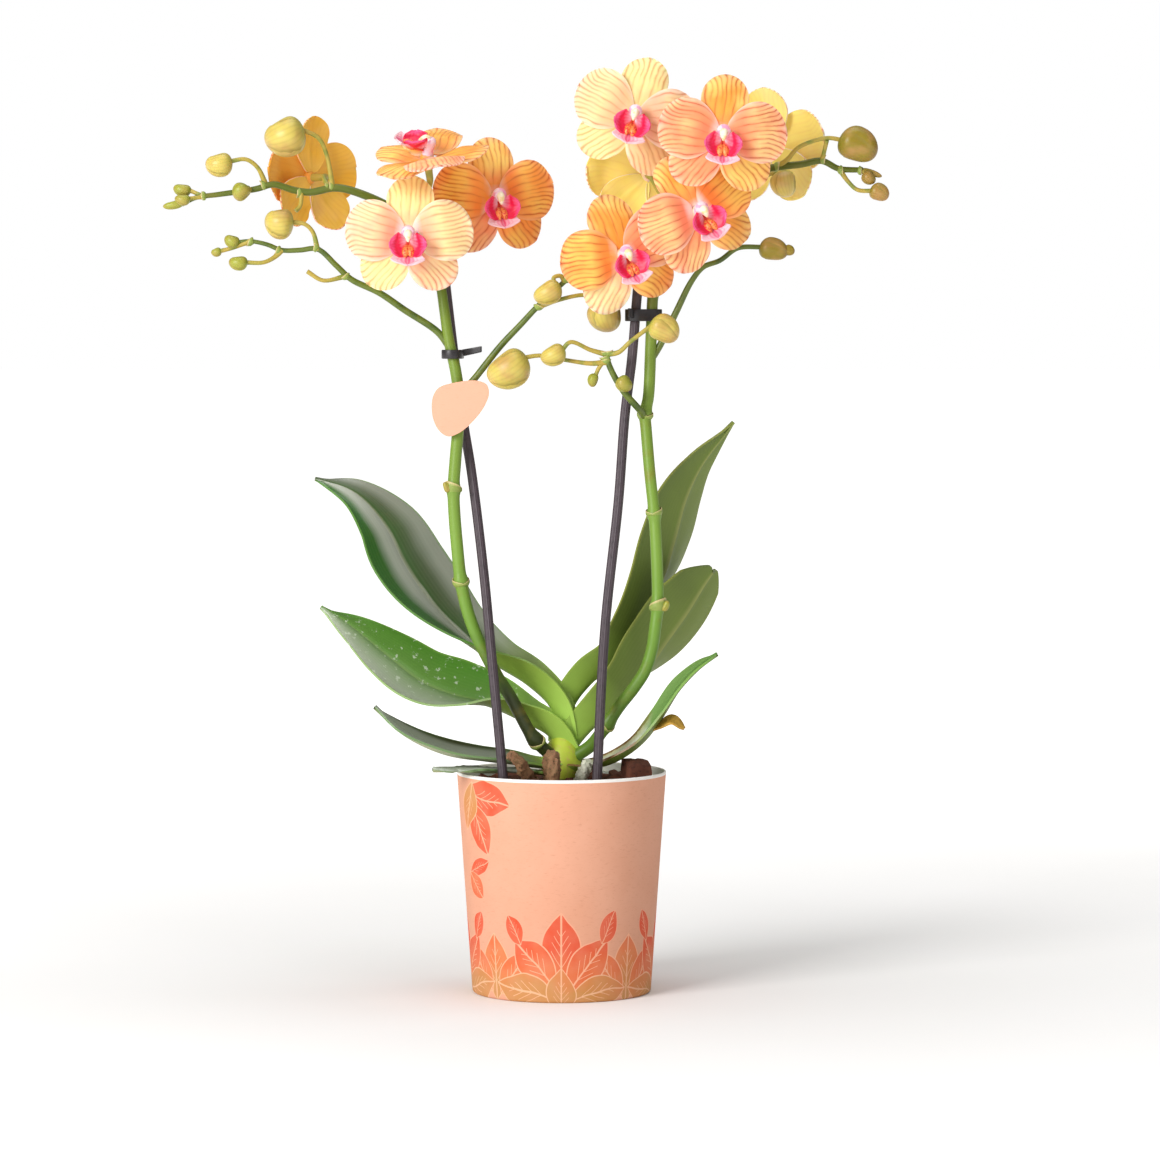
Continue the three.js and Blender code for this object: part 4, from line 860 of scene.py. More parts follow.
spikes = {
    "left": {
        "main": [
            (-3.5, -3.5, 106.5), (-8, -8, 110.5), (-13.5, -10, 117), (-18.5, -11, 126), (-23, -12, 134.5),
            (-28.5, -12, 143), (-33.5, -12, 152.5), (-38, -11.5, 161.5), (-42, -11, 172.5), (-45, -10.5, 186),
            (-46.7, -10, 201.5), (-48, -9.5, 217.5), (-48.3, -9, 228), (-47.5, -8, 240), (-46.3, -7, 255),
            (-46, -6, 269), (-47.5, -5, 280.5), (-50.5, -3.5, 294), (-52.5, -3, 307.5), (-54, -2, 317.5),
            (-56.5, -1, 329.5), (-62, 0, 340), (-71, 1, 349), (-80, 1, 355), (-95, 0, 361), (-102, 0, 362),
            (-112.5, 0, 360), (-120, 0, 361), (-129, -1, 363.5), (-136.5, -1, 361.5), (-153.5, -1, 359),
            (-164, -1, 357.5), (-170, -1, 354.5),
        ],
        "mainRadii": [2.9, 2.8, 2.8, 2.7, 2.6, 2.2, 1.9, 1.5, 1],
        "knuckles": [(115, 3.7), (186, 3.5), (227, 3.4)],
        "branches": [
            ([(-50.5, -3.5, 291), (-55.5, -3, 297.5), (-70.5, -4, 307.5), (-81.5, -5, 315), (-94, -6, 321),
            (-100.5, -7, 327), (-109, -7, 334.5), (-117, -7, 334), (-125, -7, 334), (-131.5, -7, 336.5),
            (-139, -7, 338), (-145.5, -7, 337.5)], [1.6, 1.5, 1.2, 0.9]),
            ([(-46, -6, 266), (-43, -6, 272), (-39, -7, 276.5), (-27, -8, 291.5), (-18.5, -9, 300.5),
            (-11, -9, 308.5), (-4.5, -9, 314.5), (2, -8, 320.5), (8, -8, 325)], [1.6, 1.5, 1.3, 1.1]),
        ],
        "pedicels": [
            [(-102.5, 0, 362), (-105, -3, 376.5), (-108.5, -6, 384), (-117, -8, 388)],
            [(-132.5, 0, 363.5), (-136, -3, 371), (-141, -5, 374.5), (-148.5, -6, 373.5)],
            [(-139, -1, 361), (-141, -4, 362)],
            [(-160, -1, 358), (-167, 1, 361)],
            [(-160, -1, 358), (-167, -3.5, 357)],
            [(-109, -7, 334), (-111, -8, 342), (-114.5, -9, 345.5), (-121, -9, 346.5)],
            [(-116.5, 0, 360.5), (-117, -2, 354), (-119, -3, 351.5)],
            [(-125, -7, 334), (-128, -8, 331), (-133, -10, 328.5), (-141.5, -10, 328.5)],
            [(-96, -6, 322.5), (-106.5, -9, 320.5), (-113.5, -10, 324.5)],
            [(-139, -7, 338), (-147, -7, 335), (-153, -7, 333.5)],
            [(1.5, -8, 320), (-0.5, -10.5, 322.5), (-3.5, -12, 321.5), (-1.5, -12, 317)],
            [(-11, -9, 308.5), (-0.5, -9, 312), (10, -6, 314), (18, -1, 312)],
        ],
        "buds": [
            ((-115, -8, 388.5), (-132, -8, 381.5), 9.2), ((-147, -6, 373.5), (-159, -6, 371.5), 5.6),
            ((-140.5, -4.5, 363), (-145.5, -5, 356.5), 4.2), ((-166, 1, 360.5), (-174, 1, 362), 3),
            ((-166, -4, 356.5), (-173, -4, 357), 2.6), ((-169, -1, 355.5), (-178.5, -1, 353.5), 2),
            ((-119.5, -9, 346.5), (-132.5, -9, 346.5), 7.2), ((-144, -7, 337), (-150.5, -7, 339.5), 3),
            ((-152, -7, 334), (-156.5, -7, 332.5), 2.1), ((-140, -10, 328.5), (-148.5, -10, 328.5), 3.4),
            ((-0.5, -12, 318.5), (-12, -12, 312), 5.4), ((18.5, 0, 312.5), (22, 0, 297.5), 8),
        ],
    },
    "right": {
        "main": [
            (6, -2, 106.5), (13, -4.5, 111.5), (19, -8, 119.5), (26, -11, 130), (32.5, -14, 138.5),
            (37.5, -15, 146.5), (40.5, -15, 156), (42, -15, 166), (43, -14, 175), (42.5, -12, 199.5),
            (41.5, -10, 216), (39.5, -7, 235.5), (38, -4, 253.5), (37.5, -3, 260.5), (39, -2, 268.5),
            (40, 0, 289.5), (40.5, 0, 303), (41, 0, 313.5), (43, 1, 325.5), (46, 2, 338), (51, 3, 350.5),
            (59, 3, 361), (69, 1, 367), (80.5, -1, 368.5), (87.5, -1, 369.5), (98.5, -1, 371.5),
            (107.5, -1, 372.5), (116.5, -1, 374), (124, -1, 370.5), (129.5, -1, 370), (135, -1, 370),
        ],
        "mainRadii": [2.9, 2.8, 2.7, 2.6, 2.6, 2.5, 2.2, 1.8, 1.2],
        "knuckles": [(122, 3.6), (175, 3.5), (216, 3.4), (261, 3.3), (316, 3)],
        "branches": [
            ([(37.5, -3, 258.5), (35.5, -8, 262), (32, -12, 266), (28.5, -13, 270), (24, -14, 277),
            (21, -14, 283.5), (20, -14, 288)], [1.6, 1.5, 1.3]),
            ([(40.3, 0, 285), (44.5, 1, 292), (51.5, 1, 306.5), (58.5, 0, 320.5), (63.5, 0, 326.5),
            (71, -1, 329.5), (79, -2, 335), (90, -2, 335.5)], [1.6, 1.5, 1.2, 1.1]),
        ],
        "pedicels": [
            [(20, -14, 284), (13, -14.5, 283.5), (2, -14.5, 285), (-9.5, -14, 287), (-17, -14, 286)],
            [(20, -14, 287.5), (13, -16, 289.5), (4, -19, 293), (0, -19, 289)],
            [(20, -14, 287.5), (25.5, -15.5, 288.5), (30.5, -17, 293), (41, -17, 301)],
            [(19, -14, 285), (16.5, -14, 281), (15, -14, 277.5)],
            [(26.5, -13.5, 273.5), (27, -15, 275), (27.5, -16, 276.5)],
            [(96, -1, 371), (101, -3, 374.5), (105.5, -5, 379.5), (112, -6, 382.5), (119, -6, 384),
            (126, -5, 383)],
            [(116.5, -1, 373.5), (117.5, -4, 378), (118.5, -6, 383)],
            [(85.5, -1, 369), (89, -5, 365.5), (93.5, -9, 368), (99, -10, 368)],
            [(124, -1, 371), (128.5, -2, 364.5), (132.5, -3, 361), (139.5, -3, 360.5)],
            [(133.5, -1, 370.5), (136.5, -2, 367.5)],
        ],
        "buds": [
            ((-15.5, -14, 286.5), (-32.5, -14, 276), 8.8), ((1.5, -19, 290), (-9, -19, 285), 4.9),
            ((39.5, -17, 301.5), (52, -17, 295), 6.6), ((26, -15.5, 277.5), (30.5, -17, 271.5), 3.8),
            ((15, -14, 279), (13.5, -14, 273), 2.5), ((88.5, -2, 335), (101.5, -2, 333), 5.4),
            ((99.5, -2, 334), (104.5, -2, 333.5), 2.6), ((124, -5, 383.5), (141, -5, 377), 8.2),
            ((98.3, -10, 369.5), (101, -10, 357.5), 6.1), ((135.5, -2, 369), (140, -2, 364), 3.1),
            ((133.5, -1, 370), (143.5, -1, 367), 1.6), ((138, -3, 361), (146.5, -3, 358), 4.2),
        ],
    },
}
blooms = {
    "left_1": {
        "spike": "left", "at": (-115, 26, 367.3), "face": (-0.75, 0.65, 0), "up": (0, 0, 1),
        "stalk": [(-104, 0, 361.5), (-107, 8, 367)], "tones": ["golden", "apricot", "golden", "deep", "golden"],
    },
    "left_2": {
        "spike": "left", "at": (-59.5, -22, 375.2), "face": (-0.1, -0.35, 0.93), "up": (1, 0, 0.1),
        "stalk": [(-64, 0.5, 343), (-61, -6, 357)], "tones": ["golden", "golden", "golden", "apricot", "golden"],
        "lift": 6.5, "calm": 0.35,
    },
    "left_3": {
        "spike": "left", "at": (-29.5, 4, 357.2), "face": (0.3, -0.95, 0), "up": (-0.1, 0, 1),
        "stalk": [(-57, -1, 331), (-45, 12, 341)], "tones": ["golden", "apricot", "deep", "deep", "deep"],
    },
    "left_4": {
        "spike": "left", "at": (-67.5, -28, 339.5), "face": (0, -1, 0.05), "up": (0, 0, 1),
        "stalk": [(-71, 1, 349), (-72, -9, 344)], "tones": ["cream", "cream", "blushed", "pale", "blushed"],
    },
    "right_1": {
        "spike": "right", "at": (32.5, -10, 393.5), "face": (0, -1, 0.05), "up": (0.26, 0, 0.97),
        "stalk": [(53, 3, 354), (44, 4, 372)], "tones": ["cream", "cream", "pale", "blushed", "pale"],
    },
    "right_2": {
        "spike": "right", "at": (71, -38, 383.5), "face": (0.03, -1, 0.05), "up": (0.05, 0, 1),
        "stalk": [(69, 1, 367), (72, -12, 376)], "tones": ["golden", "apricot", "golden", "apricot", "apricot"],
    },
    "right_3": {
        "spike": "right", "at": (61, -22, 350.7), "face": (0.3, -0.95, 0), "up": (-0.47, 0, 0.88),
        "stalk": [(46, 2, 338), (52, -4, 345)], "tones": ["golden", "apricot", "golden", "deep", "apricot"],
    },
    "right_4": {
        "spike": "left", "at": (27.5, -18, 331.6), "face": (0.3, -0.95, 0), "up": (-0.34, 0, 0.94),
        "stalk": [(7, -8, 324.5), (16, -8, 329)], "tones": ["golden", "pale", "deep", "apricot", "deep"],
    },
    "right_5": {
        "spike": "right", "at": (39, 16, 368.4), "face": (-0.1, 0.99, 0.1), "up": (0, 0, 1),
        "stalk": [(51, 3, 350.5), (44, 5, 360)], "tones": ["pale"] * 5,
    },
    "right_6": {
        "spike": "right", "at": (94.5, 18, 380.3), "face": (0.45, 0.88, 0.1), "up": (0, 0, 1),
        "stalk": [(87.5, -1, 369.5), (89, 5, 374)], "tones": ["pale"] * 5,
    },
}
hub = {"radius": 3.2, "back": -3.2, "front": 1.4, "radii": [1.9, 2.9, 3.2, 3.0, 2.4]}
scales = {
    # bracts: height on the main stalk, the side it stands on, its length, and whether a dormant eye
    # swells in it
    "left": [
        (113.5, (-0.6, 0.8, 0.2), 5, False), (185.5, (-0.3, 0.95, 0), 5, False), (226.5, (-0.8, -0.6, 0), 5, True),
    ],
    "right": [
        (121.5, (-0.5, 0.85, 0), 5, False), (174.5, (0.85, -0.5, 0), 6, True), (215.5, (0.2, 0.95, 0), 5, False),
        (260.5, (-0.3, 0.95, 0), 5, False), (315.5, (0.8, 0.6, 0), 5, False),
    ],
}
stalk = {
    # the stalks' foot colours are painted shade, where the leaves shade them, darkest on the left
    "shadedFeet": {"left": "343C18", "right": "5A7A26"}, "knuckleSpread": 2.2,
    "pedicel": [1.35, 1.0, 0.95, 1.05], "bloom": [1.25, 1.1, 1.2, 1.45, 1.9],
}
bract = {"wall": 0.22, "mouth": 0.15, "flare": 0.12, "tuck": 0.45, "pedicel": 1.5, "long": 3.4, "short": 2.2}
bud = {"seams": (-2.6, -0.5, 1.6), "step": 0.13, "bend": 0.2, "eye": 1.7}


def bloomFrame(spec):
    front = Vector(spec["face"]).normalized()
    right = Vector(spec["up"]).cross(front).normalized()
    turn = Matrix((right, front.cross(right), front)).transposed().to_4x4()
    return Matrix.Translation(Vector(spec["at"])) @ turn


def addBud(name, base, tip, radius):
    # a mitten of three sepals, each with one edge over its neighbour
    base, tip = Vector(base), Vector(tip)
    axis = tip - base
    side = axis.orthogonal().normalized()
    other = axis.cross(side).normalized()

    def shape(s, t):
        u = (1 - math.cos(math.pi * s)) / 2
        angle = math.pi * t
        girth = radius * max(1 - abs(2 * u - 1) ** 2.5, 0.0004) ** 0.5 * (1.06 - 0.22 * u)
        for seam in bud["seams"]:
            gap = (angle - seam - 0.7 * u) % (2 * math.pi)
            girth *= 1 - bud["step"] * smoothStep(0.04, 0.5, u) * math.exp(-gap / 0.5)
        bend = side * (bud["bend"] * radius * math.sin(math.pi * u))
        return base + axis * u + bend + (side * math.cos(angle) + other * math.sin(angle)) * girth

    return closeSheet(addSheet(name, 36, 20, shape), 2e-5)


def addBract(foot, axis, outward, length, radius):
    # a scale that clasps a stalk of the given radius: tallest on its outward side, lowest at its mouth
    axis = axis.normalized()
    outward = (outward - axis * outward.dot(axis)).normalized()
    side = axis.cross(outward)

    def shape(s, t):
        angle = math.pi * t
        rise = length * s * (1 - (1 - bract["mouth"]) * abs(t) ** 1.2)
        away = radius - bract["tuck"] + 0.5 * smoothStep(0, 0.4, s) + 0.2 * math.sin(math.pi * s)
        away += bract["flare"] * s * s
        return foot + axis * rise + (outward * math.cos(angle) + side * math.sin(angle)) * away

    scale = addSheet("bract", 18, 5, shape)
    editPiece(scale, (bpy.ops.mesh.remove_doubles, {"threshold": 1e-5}))
    thicken(scale, bract["wall"], offset=1)
    return scale


def nearestRun(lines, point):
    # the place and heading of the nearest of some cut-up lines
    _, i, line = min(((p - point).length, i, n) for n, line in enumerate(lines) for i, p in enumerate(line))
    line = lines[line]
    i = min(max(i, 1), len(line) - 2)
    return line[i], (line[i + 1] - line[i - 1]).normalized()


def makeSpike(side, branchSkin, pedicelSkin, bractSkin, budSkin, youngSkin, shadedSkin):
    spec = spikes[side]
    main = vectors(spec["main"])

    def girth(s, point):
        radius = sampled(spec["mainRadii"], s)
        for z, size in spec["knuckles"]:
            radius += (size - radius) * math.exp(-((point.z - z) / stalk["knuckleSpread"]) ** 2)
        return radius

    pieces = [paint(addTube("main", main, girth, 18, 260), stalkFinish("stalkSkin_" + side, stalk["shadedFeet"][side]))]
    carriers = [evenPath(main, 200)]
    for path, radii in spec["branches"]:
        pieces.append(paint(addTube("branch", vectors(path), radii, 14, 70), branchSkin))
        carriers.append(evenPath(vectors(path), 60))
    paths = [(vectors(path), stalk["pedicel"]) for path in spec["pedicels"]]
    for bloom in blooms.values():
        if bloom["spike"] == side:
            place = bloomFrame(bloom)
            behind = [place @ Vector((0, 0, hub["back"] - gap)) for gap in (8.3, 4.3, 0)]
            paths.append((vectors(bloom["stalk"]) + behind, stalk["bloom"]))
    for path, radii in paths:
        pieces.append(paint(addTube("pedicel", path, radii, 12, 32), pedicelSkin))
        spot, heading = nearestRun(carriers, path[0])
        leave = (path[1] - path[0]).normalized()
        length = bract["long" if len(path) > 2 else "short"]
        pieces.append(paint(addBract(spot - heading * 0.4, heading + leave * 0.6, leave - heading * 0.5, length,
                                     bract["pedicel"]), bractSkin))
    for base, tip, radius in spec["buds"]:
        # buds at the right end of the sprays take a darker copy of the bud skin: partly painted shade, partly a
        # browner tone
        shadedBud = base[0] > 120 or base[0] > 80 and radius < 6
        skin = shadedSkin if shadedBud else budSkin if radius > 4.5 else youngSkin
        pieces.append(paint(addBud("bud", base, tip, radius), skin))
    for z, outward, length, eye in scales[side]:
        spot, heading = min(((p, (q - p).normalized()) for p, q in zip(carriers[0], carriers[0][1:])),
                            key=lambda run: abs(run[0].z - z))
        radius = sampled(spec["mainRadii"], z / 600) + 0.7
        away = Vector(outward).normalized()
        pieces.append(paint(addBract(spot - heading, heading, away, length, radius), bractSkin))
        if eye:
            foot = spot + away * (radius - 0.6) - heading
            pieces.append(paint(addBud("eye", foot, foot + heading * 4.6 + away * 2.4, bud["eye"]), youngSkin))
    finishPiece(joinPieces("stalks_" + side, pieces), "flower_stalks", "spike_" + side, angle=50)


def makeSpikes():
    skins = [
        grownFinish("branchSkin", "50691A", "6A7020", "465A18", 24, 0.45, 0.05, 0.05, 0),
        grownFinish("pedicelSkin", "A29A3C", "BC9A42", "848A34", 20, 0.5, 0.05, 0, 0),
        bractFinish(),
        budFinish("budSkin", "98A436", "CCB85A", "D2B878", 0.6, 0.16),
        budFinish("youngBudSkin", "728E2E", "9A9C38", "A68E40", 0.5, 0),
        # darker copy of the bud skin: painted shade for the buds at the right end of the sprays, with a browner tone
        budFinish("shadedBudSkin", "6A7020", "8E7A20", "845C2C", 0.7, 0.16),
    ]
    for side in spikes:
        makeSpike(side, *skins)


makeSpikes()
print("stalks and buds ready")


# Sticks, clips and tag

sticks = {
    "left": [(-19, -24, 18), (-25, -27, 89), (-30.3, -20.5, 144), (-34.8, -11, 190), (-40.5, -1.5, 235),
             (-44, 1.2, 256), (-47.2, 2.8, 278), (-51.8, 4.5, 316), (-53, 5, 327)],
    "right": [(12.5, -28, 18), (16, -24, 100), (19.5, -19, 166), (25.5, -12, 222), (28.5, -6, 261),
              (31.5, -3, 285), (33.5, -2, 309), (34.5, -2, 322)],
}
stick = {"radius": 2.2, "ridges": 14, "depth": 0.03, "endRound": 0.006, "endShare": 0.75}
clips = {
    "clip_left": {"spike": (-49, -4.3), "stick": (-48.6, 3.2), "z": 287.5, "height": 4, "tab": 9, "turn": -0.15},
    "clip_right": {"spike": (40.4, 0), "stick": (33.2, -2.1), "z": 305, "height": 5.4, "tab": 4, "turn": -2},
}
clipBand = {"inner": 3.45, "wall": 1.3, "bevel": 0.35, "arcSteps": 16, "tabGap": 0.4, "tabLift": 0.5, "tabSway": 0.7}
tag = {
    "thickness": 0.8, "front": -13, "x": -45.2, "z": 263.5, "bow": 0.35,
    "outline": [(-12.7, -0.2), (-12.2, 5), (-9.5, 9.2), (-1.5, 11.6), (7.5, 12.3), (11.8, 10.6), (12.9, 6.6),
                (10.8, 0.8), (5, -6.6), (-1.2, -11.4), (-5.6, -12.6), (-9.6, -9.8), (-12, -5)],
}
tagRing = {
    "x": -46.2, "y": -6.6, "z": 256.5, "middle": 3.95, "wall": 1.1, "opening": 0.55, "height": 5, "bevel": 0.2,
    "bridge": 2.5,
}


def makeSticks():
    finish = grownFinish("stainedBamboo", "40343A", "4C4047", "30272C", 12, 0.5, 0.2)
    for side, path in sticks.items():
        def ridged(s, angle, point):
            end = stick["endShare"] + (1 - stick["endShare"]) * smoothStep(0, 1, min(s, 1 - s) / stick["endRound"])
            return (1 - stick["depth"] + stick["depth"] * math.cos(stick["ridges"] * angle)) * end
        cane = addTube("cane_" + side, vectors(path), [stick["radius"]] * 2, 84, 150, ridged)
        finishPiece(paint(cane, finish), "sticks", "stick_" + side, angle=70)


def bevelEdges(piece, width):
    addModifier(piece, "BEVEL", width=width * mm, segments=2, limit_method="ANGLE")


def addBand(name, outline, low, height, wall, bevel, closed=True):
    # a band of the given height that follows an outline of (x, y) points
    count = len(outline) - 1

    def shape(s, t):
        x, y = outline[round((t + 1) / 2 * count)]
        return Vector((x, y, low + height * s))

    band = addSheet(name, count, 2, shape)
    outwards = (bpy.ops.mesh.normals_make_consistent, {"inside": False})
    if closed:
        editPiece(band, (bpy.ops.mesh.remove_doubles, {"threshold": 1e-6}), outwards)
    thicken(band, wall, offset=1, use_even_offset=True)
    editPiece(band, outwards)
    bevelEdges(band, bevel)
    return band


def arcPoints(centre, radius, start, sweep, steps):
    x, y = centre
    turns = [start + sweep * i / steps for i in range(steps + 1)]
    return [(x + radius * math.cos(turn), y + radius * math.sin(turn)) for turn in turns]


def makeClips():
    finish = clipFinish()
    inner, wall, bevel = clipBand["inner"], clipBand["wall"], clipBand["bevel"]
    for name, spec in clips.items():
        (ax, ay), (bx, by) = spec["spike"], spec["stick"]
        turn = math.atan2(by - ay, bx - ax)
        outline = [*arcPoints(spec["spike"], inner, turn + math.pi / 2, math.pi, clipBand["arcSteps"]),
                   *arcPoints(spec["stick"], inner, turn - math.pi / 2, math.pi, clipBand["arcSteps"])]
        outline.append(outline[0])
        band = addBand("band", outline, spec["z"] - spec["height"] / 2, spec["height"], wall, bevel)
        away = Vector((math.cos(spec["turn"]), math.sin(spec["turn"]), 0))

        def finger(s, t, spec=spec, away=away):
            half = spec["height"] * (0.4 - 0.06 * s) * t
            sway = clipBand["tabSway"] * math.sin(math.pi * s)
            point = Vector((*spec["stick"], spec["z"])) + away * (inner + clipBand["tabGap"] + spec["tab"] * s)
            return point + Vector((-away.y * sway, away.x * sway, half + clipBand["tabLift"] + 0.2 * spec["tab"] * s))

        tab = addSheet("tab", 6, 14, finger)
        thicken(tab, wall)
        bevelEdges(tab, bevel)
        finishPiece(paint(joinPieces(name + "_spring", [band, tab]), finish), "clips", name, angle=40)


def makeTag():
    corners = vectors([(x, z, 0) for x, z in tag["outline"]])
    drop = []
    for i in range(len(corners)):
        near = [corners[(i + k) % len(corners)] for k in (-1, 0, 1, 2)]
        drop += [pathPoint(near, (1 + k / 10) / 3) for k in range(10)]
    edge = sorted((math.atan2(p.y, p.x), p.length) for p in drop)
    edge = [(edge[-1][0] - 2 * math.pi, edge[-1][1]), *edge, (edge[0][0] + 2 * math.pi, edge[0][1])]
    front = tag["front"] + tag["thickness"] / 2
    back = tagRing["y"] - tagRing["middle"]

    def reach(angle):
        for (a, p), (b, q) in zip(edge, edge[1:]):
            if a <= angle <= b:
                return p + (q - p) * (angle - a) / max(b - a, 1e-9)
        return edge[0][1]

    def card(s, t):
        v = 2 * s - 1
        angle = math.atan2(v, t)
        x, z = (max(abs(t), abs(v)) * reach(angle) * part for part in (math.cos(angle), math.sin(angle)))
        return Vector((tag["x"] + x, front + tag["bow"] * (x / 12) ** 2, tag["z"] + z))

    def web(s, t):
        waist = 1 - 0.25 * math.sin(math.pi * s)
        return Vector((tagRing["x"] + tagRing["bridge"] * t * waist, front + (back - front) * s,
                       tagRing["z"] + tagRing["height"] / 2))

    face = addSheet("card", 36, 36, card)
    thicken(face, tag["thickness"])
    opening, middle = tagRing["opening"], tagRing["middle"] - tagRing["wall"] / 2
    arc = arcPoints((tagRing["x"], tagRing["y"]), middle, math.pi / 2 + opening, 2 * math.pi - 2 * opening, 36)
    band = addBand("ring", arc, tagRing["z"], tagRing["height"], tagRing["wall"], tagRing["bevel"], closed=False)
    bridge = addSheet("bridge", 6, 6, web)
    thicken(bridge, tagRing["height"])
    whole = joinPieces("plain_tag", [face, band, bridge])
    paint(whole, boardFinish("peachCard", "ECB094", "E8A88A", "DC9A7A"))
    finishPiece(whole, "tag", "tag", angle=40)


makeSticks()
makeClips()
makeTag()
print("sticks, clips and tag ready")


# Blooms

sepal = {
    "length": 25, "half": 10.6, "widest": 0.56, "claw": 0.3, "rise": 0.85, "tip": 2.0, "depth": -1.5, "arch": 1.6,
    "recurve": 4.6, "cup": 1.8, "veins": 0.7,
}
petal = {
    "length": 26, "half": 13.6, "widest": 0.52, "claw": 0.3, "rise": 0.78, "tip": 2.3, "depth": 0, "arch": 2.6,
    "recurve": 3, "cup": 1.6, "veins": 1.0,
}
tepals = [(sepal, 90), (sepal, 228), (sepal, 312), (petal, 11), (petal, 169)]
tepal = {
    "root": 0.7, "thickness": 0.65, "wave": 1.3, "frill": 0.45, "keel": 0.4, "across": 24, "along": 30, "turn": 2.5,
}
seat = hub["front"] + 0.1  # where the lip grows from the hub
lip = {
    "wall": 0.8,
    "column": ([(0, 0.3, seat - 0.6), (0, 0.8, seat + 1.2), (0, 1.7, seat + 4.2), (0, 1.4, seat + 6.6)],
               [2.6, 2.3, 2.2, 2.7, 3.1, 2.4], 24, 24),
    "anther": ([(0, 1.8, seat + 5.2), (0, 0.6, seat + 6.8), (0, -2.8, seat + 6.6)], [1.4, 1.8, 1.6, 1.1, 0.4],
               20, 16),
    "middle": {
        "path": [(0, -1.4, seat + 1.4), (0, -6.2, seat + 3.2), (0, -10.9, seat + 6.6), (0, -13.2, seat + 8.8)],
        "half": [1.5, 3.0, 3.8, 4.4, 5.6, 7.0, 7.8, 7.6, 6.6], "fold": [30, 24, 14, 10],
        "face": [(0, 0.6, 0.8), (0, 0.5, 0.9)], "groove": 0.6, "wave": 0.6, "tip": 0.72,
    },
    "sideHalf": 6,
    "callus": [1.1, 1.7, 1.6, 0.5],
}


def outline(spec, s):
    # share of the full half width: a broad claw, the widest place, then a round end
    widest, claw = spec["widest"], spec["claw"]
    if s < widest:
        return claw + (1 - claw) * math.sin(math.pi / 2 * s / widest) ** spec["rise"]
    return max(math.sqrt(1 - ((s - widest) / (1 - widest)) ** spec["tip"]), 0.02)


def addTepal(spec, angle, dice, finishes, lift=0, calm=1):
    # lift raises the far end, as in a bloom that has just opened, and calm under 1 flattens its waves
    turn = math.radians(angle + dice.uniform(-1, 1) * tepal["turn"])
    seed = dice.uniform(0, 90)
    flex = dice.uniform(0.7, 1.25)
    lean = dice.uniform(-1.2, 1.2)

    def shape(s, t):
        out = hub["radius"] - tepal["root"] + spec["length"] * s
        share = outline(spec, s)
        side = lean * s * s - spec["half"] * share * t
        rise = spec["depth"] + spec["arch"] * math.sin(math.pi * s) ** 2 + (lift - spec["recurve"] * flex) * s * s
        ripple = tepal["wave"] * noise.noise(Vector((s * 3 + seed, t * 1.1, seed / 3)))
        frill = tepal["frill"] * noise.noise(Vector((s * 7 + seed, t * 2.6, seed / 5))) * abs(t) ** 3
        rise += calm * (ripple + frill) * smoothStep(0.1, 0.6, s) * (0.4 + t * t) - spec["cup"] * share * t * t
        rise -= tepal["keel"] * math.exp(-(t / 0.1) ** 2) * math.sin(math.pi * s)
        return Vector((math.cos(turn) * out - math.sin(turn) * side,
                       math.sin(turn) * out + math.cos(turn) * side, rise))

    sheet = addSheet("tepal", tepal["across"], tepal["along"], shape, 1.7)
    sheet.data.uv_layers.new(name="veins")
    plain, veins = (sheet.data.uv_layers[layer].data for layer in ("sheet", "veins"))
    for corner, fanned in zip(plain, veins):
        across, s = corner.uv
        bow = petalVeins["follow" if s < spec["widest"] else "leave"]
        fanned.uv = ((2 * across - 1) * outline(spec, s) ** bow * spec["veins"], s)
    paint(sheet, *finishes)
    thicken(sheet, tepal["thickness"], material_offset=1)
    return sheet


def moved(piece, place):
    # takes a piece in millimetres of its own frame to its place on the plant
    shift, turn = place.to_translation() * mm, place.to_3x3()
    for vertex in piece.data.vertices:
        vertex.co = turn @ vertex.co + shift
    return piece


def oval(width):
    # half widths of an oval lobe at even steps
    return [width * math.sin(math.pi * (i + 0.35) / 12.7) ** 0.62 for i in range(13)]


def addLobe(spec, along, seed, finish):
    lobe = addSheet("lobe", 20, along, ribbon(spec, seed), 1.15)
    thicken(lobe, lip["wall"])
    return paint(lobe, finish)


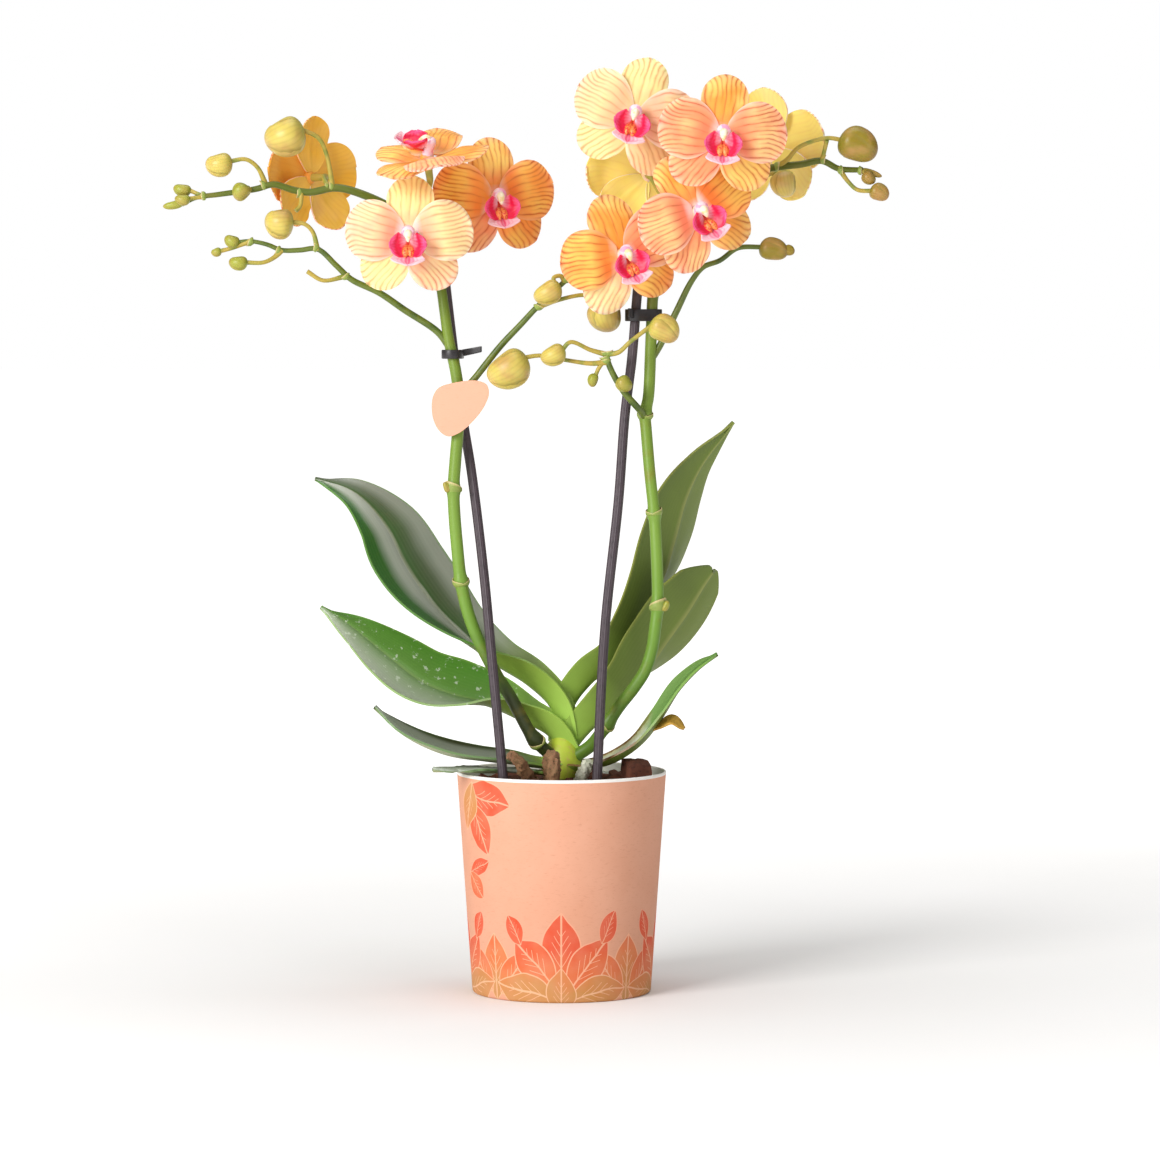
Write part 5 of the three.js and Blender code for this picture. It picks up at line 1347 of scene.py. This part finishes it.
def makeLip():
    fleshy, streaked = lipFinish(), midlobeFinish()
    blush = speckledFinish("columnFlesh", "F6D0DA", "EE9FBE", 3.4, 0.5, 0.42)
    cap = speckledFinish("columnCap", "F8E9CC", "F2D69A", 2, 0.52, 0.5)
    spotted = speckledFinish("spottedCallus", "F0904A", "DC3A2A", 0.8, 0.5, 0.4)
    pieces = []
    for part, finish in (("column", blush), ("anther", cap)):
        path, *rest = lip[part]
        pieces.append(paint(addTube(part, vectors(path), *rest), finish))
    pieces.append(addLobe(lip["middle"], 32, 3, streaked))
    for turn in (1, -1):
        lobe = addLobe({
            "path": [(turn * 1.0, -2.2, seat + 2.8), (turn * 4.6, -4.0, seat + 5.2), (turn * 8.2, -4.2, seat + 8.4)],
            "half": oval(lip["sideHalf"]), "fold": [20, 26, 14], "wave": 0.5, "groove": 0, "tip": 1,
            "face": [(-turn * 0.5, 0, 0.85), (-turn * 0.75, 0, 0.65)],
        }, 24, 5 + turn, fleshy)
        for corner in lobe.data.uv_layers["sheet"].data:
            corner.uv[0] = 0.5 + turn * (corner.uv[0] - 0.5)  # 1 at the lower edge of both lobes
        knob = [(turn * 0.7, -4.6, seat + 3.2), (turn * 1.2, -7.2, seat + 5.2), (turn * 1.5, -9.6, seat + 6.6)]
        pieces += [lobe, paint(addTube("callus", vectors(knob), lip["callus"], 16, 12), spotted)]
    return joinPieces("lip", pieces)


def makeBlooms():
    finishes = {tone: (petalFinish(tone), petalFinish(tone, back=True)) for tone in petalTones}
    model = makeLip()
    for seed, (name, spec) in enumerate(blooms.items()):
        dice = random.Random(seed + 40)
        place = bloomFrame(spec)
        sheets = []
        for (shape, angle), tone in zip(tepals, spec["tones"]):
            sheets.append(addTepal(shape, angle, dice, finishes[tone], spec.get("lift", 0), spec.get("calm", 1)))
        disc = addTube("hub", vectors([(0, 0, hub["back"]), (0, 0, -1), (0, 0, hub["front"])]), hub["radii"], 24, 12)
        sheets.append(paint(disc, finishes[spec["tones"][0]][0]))
        perianth = moved(joinPieces("perianth_" + name, sheets), place)
        finishPiece(perianth, "petals", f"bloom_{name}_tepals", angle=80)
        copied = copyPiece(model)
        copied.name = copied.data.name = "lip_" + name
        finishPiece(moved(copied, place), "lips", f"bloom_{name}_lip", angle=80)
    bpy.data.objects.remove(model)


makeBlooms()
print("blooms ready")
